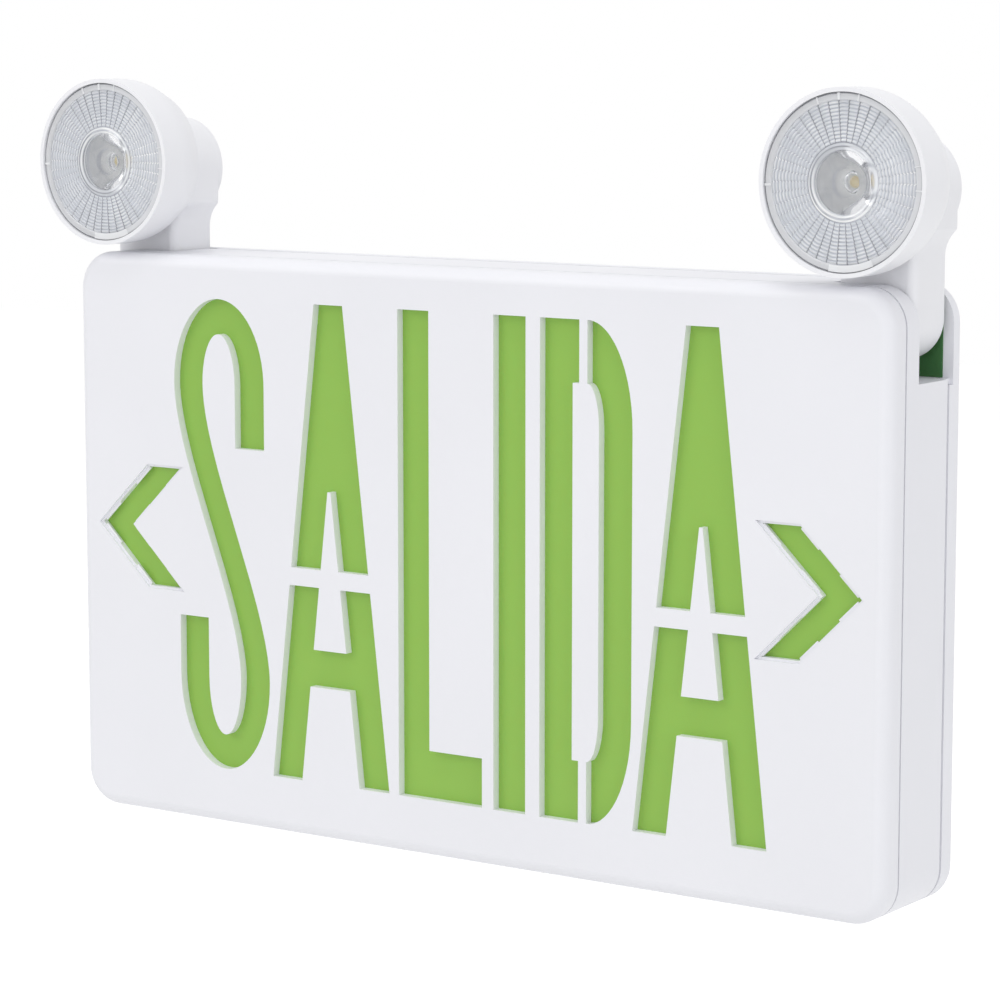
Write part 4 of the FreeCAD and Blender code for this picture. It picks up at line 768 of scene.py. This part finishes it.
class EXITLIGHT_OT_chips(bpy.types.Operator):
    """Builds the light chip on each lamp's board, with its phosphor"""

    bl_idname = "exit_light.chips"
    bl_label = "Light chips"

    def execute(self, context):
        middle = (CHIP_LOW + CHIP_HIGH) / 2
        border, sunk, edge = 0.45 * MM, 0.25 * MM, 0.1 * MM
        base = block("chip_base_right", middle, CHIP_HIGH - CHIP_LOW, edge)
        pick(base, faces_front, "faces")
        bpy.ops.mesh.inset(thickness=border)
        bpy.ops.mesh.extrude_region_move(TRANSFORM_OT_translate={"value": (0.0, sunk, 0.0)})
        leave(base)
        front = Vector((middle.x, CHIP_LOW.y + 0.22 * MM, middle.z))
        profile = sized((0.0, 0.0), (1.6, 0.0), (1.6, 0.15), (1.45, 0.5), (1.1, 0.85),
                        (0.6, 1.05), (0.0, 1.1))
        dot = leave(turned("phosphor_right", front, FORWARD, profile, steps=32), smooth=40.0)
        yellow = phosphor_finish("phosphor_yellow")
        for side in SIDES:
            own_base = base if side == "right" else other_side(base, "chip_base_left")
            own_dot = dot if side == "right" else other_side(dot, "phosphor_left")
            settle(own_base, FINISHES["light_chip"], f"head_{side}", "light_chip", f"lamp_emitter_{side}")
            settle(own_dot, yellow, f"head_{side}", "light_chip")
        return {"FINISHED"}


class EXITLIGHT_OT_screws(bpy.types.Operator):
    """Builds the cross-recess screws that close the casing from behind"""

    bl_idname = "exit_light.screws"
    bl_label = "Casing screws"

    def profile(self, head, shank, length):
        """The turned outline of a screw: (radius, depth forward of its head)."""
        head_wall, thread_start, point = 1.4 * MM, 1.8 * MM, 0.8 * MM
        core, turns = 0.78 * shank, 8
        pitch = (length - thread_start - 2.0 * point) / turns
        points = [(0.0, 0.0), (0.7 * head, 0.02 * MM), (0.92 * head, 0.18 * MM), (head, 0.5 * MM),
                  (head, head_wall), (shank, head_wall)]
        for number in range(turns):
            low = thread_start + number * pitch
            points += [(core, low), (core, low + 0.3 * pitch), (shank, low + 0.62 * pitch),
                       (core, low + 0.94 * pitch)]
        return points + [(0.5 * shank, length - point), (0.0, length)]

    def execute(self, context):
        head, shank = 3.0 * MM, 1.5 * MM
        blade_long, blade_wide, blade_deep, taper = 3.2 * MM, 0.7 * MM, 1.9 * MM, 0.45
        step_in = 33.0 * MM
        face = Vector((SCREW_HIGH.x - head, SCREW_HIGH.y, SCREW_LOW.z + head))
        profile = self.profile(head, shank, SCREW_HIGH.y - SCREW_LOW.y)
        screw = leave(turned("screw", face, FORWARD, profile, steps=32), smooth=30.0)
        for number, (wide, high) in enumerate(((blade_wide, blade_long), (blade_long, blade_wide))):
            blade = block(f"blade_{number}", face, (wide, blade_deep, high))
            pick(blade, faces_front, "faces")
            bpy.ops.transform.resize(value=(taper, 1.0, taper), center_override=face)
            carve(screw, leave(blade))
        rise = SCREW_HIGH.z - SCREW_LOW.z - 2.0 * head
        span = 2.0 * face.x
        shifts = ((-span, 0.0, 0.0), (-step_in, 0.0, rise), (step_in - span, 0.0, rise))
        copies = [copy_of(screw, f"screw_{number}", shift) for number, shift in enumerate(shifts)]
        whole = joined("cross_screws", [screw, *copies])
        settle(whole, FINISHES["steel"], "casing", "steel", "casing_screws")
        return {"FINISHED"}


class EXITLIGHT_OT_button(bpy.types.Operator):
    """Builds the test button with its dished face"""

    bl_idname = "exit_light.button"
    bl_label = "Test button"

    def execute(self, context):
        foot = Vector((BUTTON_MIDDLE.x, BUTTON_MIDDLE.y, BUTTON_LOW.z))
        flange = (BUTTON_HIGH.x - BUTTON_LOW.x) / 2
        tall = BUTTON_HIGH.z - BUTTON_LOW.z
        cap, stem = 4.0 * MM, 1.6 * MM
        flange_top, flange_foot = 1.9 * MM, 3.1 * MM
        profile = [(0.0, 0.32 * MM), (0.5 * cap, 0.24 * MM), (0.75 * cap, 0.08 * MM), (0.85 * cap, 0.0),
                   (0.94 * cap, 0.1 * MM), (cap, 0.4 * MM), (cap, flange_top), (flange, flange_top),
                   (flange, flange_foot), (stem, flange_foot), (stem, tall), (0.0, tall)]
        button = leave(turned("dished_button", foot, (0.0, 0.0, 1.0), profile, steps=48))
        settle(button, FINISHES["button_red"], "test_button", "button_red", "test_button")
        return {"FINISHED"}


class EXITLIGHT_OT_arrow_lips(bpy.types.Operator):
    """Builds the thin lips left along the arrows' edges where their blanks were snapped out"""

    bl_idname = "exit_light.arrow_lips"
    bl_label = "Arrow lips"

    def lip(self, number, first, last):
        """One thin strip along an edge, with softened ends."""
        wide, thick, edge = 0.9 * MM, 0.5 * MM, 0.12 * MM
        run = last - first
        middle = (first + last) / 2
        strip = block(f"lip_{number}", middle, (wide, thick, run.length), edge)
        turn_mesh(math.atan2(run.x, run.z), middle)
        return leave(strip)

    def execute(self, context):
        # The arrows' sizes and the step round them, as the front cover has them
        tip, rise, half, sweep, limb = 143.2 * MM, 3.2 * MM, 20.4 * MM, 21.0 * MM, 15.0 * MM
        step, inset, slant = 0.8 * MM, 1.0 * MM, 1.42
        depth = FACE_LOW.y + 1.3 * MM
        outer = tip - slant * inset
        inner = tip - limb + slant * (2.0 * step - inset)
        stretches = ((0.04, 0.33), (0.66, 0.94))
        lips = []
        for sign, edge, up in itertools.product((1.0, -1.0), (outer, inner), (1.0, -1.0)):
            corner = Vector((sign * edge, depth, rise))
            end = Vector((sign * (edge - sweep), depth, rise + up * half))
            for low, high in stretches:
                lips.append(self.lip(len(lips), corner.lerp(end, low), corner.lerp(end, high)))
        settle(joined("arrow_lips", lips), FINISHES["casing_white"], "casing", "casing_white")
        return {"FINISHED"}


class EXITLIGHT_OT_slot_liners(bpy.types.Operator):
    """Builds the green liners at the backs of the arm slots, coloured a darker green as painted shade"""

    bl_idname = "exit_light.slot_liners"
    bl_label = "Slot liners"

    def execute(self, context):
        # The arm slot's reach in from the casing's side and down from its top, and the room left free
        slot_side, slot_drop, outer_room, top_room = 28.0 * MM, 28.0 * MM, 3.4 * MM, 2.0 * MM
        front, back, edge = -5.1 * MM, -4.7 * MM, 0.1 * MM
        low = Vector((HOUSING_HIGH.x - slot_side, front, HOUSING_HIGH.z - slot_drop + edge))
        high = Vector((HOUSING_HIGH.x - outer_room, back, HOUSING_HIGH.z - top_room))
        liner = block("slot_liner_right", (low + high) / 2, high - low, edge)
        broad = 100.0 * MM * MM
        pick(liner, lambda face: faces_front(face) and face.calc_area() > broad, "faces")
        bpy.ops.mesh.inset(thickness=1.2 * MM)
        bpy.ops.transform.translate(value=(0.0, edge, 0.0))
        leave(liner)
        for piece in (liner, copy_of(liner, "slot_liner_left", (-low.x - high.x, 0.0, 0.0))):
            settle(piece, FINISHES["liner_green"], "casing", "green_sheet")
        return {"FINISHED"}


class EXITLIGHT_OT_stage(bpy.types.Operator):
    """Sets the floor, the lamps, the room light and the camera"""

    bl_idname = "exit_light.stage"
    bl_label = "Stage"

    def seen(self, nodes, links):
        """1 for rays straight from the eye, off a gloss or through clear plastic, and 0 for others."""
        path = nodes.new("ShaderNodeLightPath").outputs
        share = path["Is Camera Ray"]
        for kind in ("Is Glossy Ray", "Is Transmission Ray"):
            either = nodes.new("ShaderNodeMath")
            either.operation = "MAXIMUM"
            links.new(share, either.inputs[0])
            links.new(path[kind], either.inputs[1])
            share = either.outputs[0]
        return share

    def floor(self, studio):
        """A pale floor that reads white where no shadow lies on it."""
        floor = start("floor", bpy.ops.mesh.primitive_plane_add, size=6.0,
                      location=(0.0, 0.0, LOW.z - studio.floor_drop))
        bpy.ops.mesh.subdivide(number_cuts=3)
        leave(floor)
        finish = Finish("floor_white")
        finish.put("Base Color", finish.blend(
            finish.range(finish.noise(3.0), 0.0, 1.0), (0.86, 0.86, 0.86), (0.88, 0.88, 0.88)))
        finish.put("Roughness", 0.9)
        finish.put("Specular IOR Level", 0.1)
        finish.put("Emission Color", WHITE)
        seen = self.seen(finish.nodes, finish.links)
        finish.put("Emission Strength", finish.math("MULTIPLY", seen, studio.floor_glow))
        floor.data.materials.append(finish.material)

    def lamp(self, name, place, size, power, colour):
        """A square soft lamp aimed at the middle of the exit light."""
        light = bpy.data.lights.new(name, "AREA")
        light.shape = "SQUARE"
        light.size = size
        light.energy = power
        light.color = colour
        holder = bpy.data.objects.new(name, light)
        bpy.context.scene.collection.objects.link(holder)
        holder.location = place
        holder.rotation_euler = (-Vector(place)).to_track_quat("-Z", "Y").to_euler()

    def room(self, studio):
        """Even light from all round, white where the eye meets it."""
        world = bpy.data.worlds.new("studio_room")
        bpy.context.scene.world = world
        world.use_nodes = True
        nodes, links = world.node_tree.nodes, world.node_tree.links
        back = nodes["Background"]
        strength = nodes.new("ShaderNodeMapRange")
        strength.inputs["To Min"].default_value = studio.room_light
        strength.inputs["To Max"].default_value = 1.0
        links.new(self.seen(nodes, links), strength.inputs["Value"])
        links.new(strength.outputs["Result"], back.inputs["Strength"])
        back.inputs["Color"].default_value = (*WHITE, 1.0)

    def execute(self, context):
        studio = context.scene.exit_light_studio
        self.floor(studio)
        self.room(studio)
        self.lamp("key_lamp", (-1.0, -1.5, 1.1), 1.2, studio.key_power, (1.0, 0.995, 0.985))
        self.lamp("side_lamp", (1.8, -0.6, 0.5), 1.2, studio.side_power, (0.98, 0.99, 1.0))
        self.lamp("low_lamp", (0.4, -1.4, -0.02), 0.4, studio.low_power, WHITE)
        self.lamp("top_lamp", (0.0, -0.3, 1.8), 1.0, studio.top_power, WHITE)
        camera = bpy.data.cameras.new("camera")
        camera.lens = studio.lens_length
        camera.sensor_width = 36.0
        holder = bpy.data.objects.new("camera", camera)
        context.scene.collection.objects.link(holder)
        holder.location = studio.camera_place
        holder.rotation_euler = studio.camera_turn
        context.scene.camera = holder
        context.scene.view_settings.view_transform = "Standard"
        return {"FINISHED"}


class EXITLIGHT_PT_panel(bpy.types.Panel):
    """Lists the sizes, colours and building steps of the exit light."""

    bl_idname = "EXITLIGHT_PT_panel"
    bl_label = "Exit Light"
    bl_space_type = "VIEW_3D"
    bl_region_type = "UI"
    bl_category = "Exit Light"

    def draw(self, context):
        for group in GROUPS:
            holder = getattr(context.scene, group)
            box = self.layout.box()
            for name in holder.bl_rna.properties.keys():
                if name not in ("name", "rna_type"):
                    box.prop(holder, name)
        for step in STEPS:
            self.layout.operator(step.bl_idname)


GROUPS = {
    "exit_light_finish": ExitLightFinish,
    "exit_light_lamp": ExitLightLamp,
    "exit_light_studio": ExitLightStudio,
}
STEPS = (
    EXITLIGHT_OT_finishes, EXITLIGHT_OT_lenses, EXITLIGHT_OT_lens_tabs, EXITLIGHT_OT_optics,
    EXITLIGHT_OT_chips, EXITLIGHT_OT_screws, EXITLIGHT_OT_button, EXITLIGHT_OT_arrow_lips,
    EXITLIGHT_OT_slot_liners, EXITLIGHT_OT_stage,
)


def register():
    for kind in (*GROUPS.values(), *STEPS, EXITLIGHT_PT_panel):
        bpy.utils.register_class(kind)
    for name, kind in GROUPS.items():
        setattr(bpy.types.Scene, name, bpy.props.PointerProperty(type=kind))


def unregister():
    for name in GROUPS:
        delattr(bpy.types.Scene, name)
    for kind in reversed((*GROUPS.values(), *STEPS, EXITLIGHT_PT_panel)):
        bpy.utils.unregister_class(kind)


def main():
    """Registers the add-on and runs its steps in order."""
    register()
    bpy.ops.exit_light.finishes()
    bpy.ops.exit_light.lenses()
    bpy.ops.exit_light.lens_tabs()
    bpy.ops.exit_light.optics()
    bpy.ops.exit_light.chips()
    bpy.ops.exit_light.screws()
    bpy.ops.exit_light.button()
    bpy.ops.exit_light.arrow_lips()
    bpy.ops.exit_light.slot_liners()
    bpy.ops.exit_light.stage()


if __name__ == "__main__":
    main()
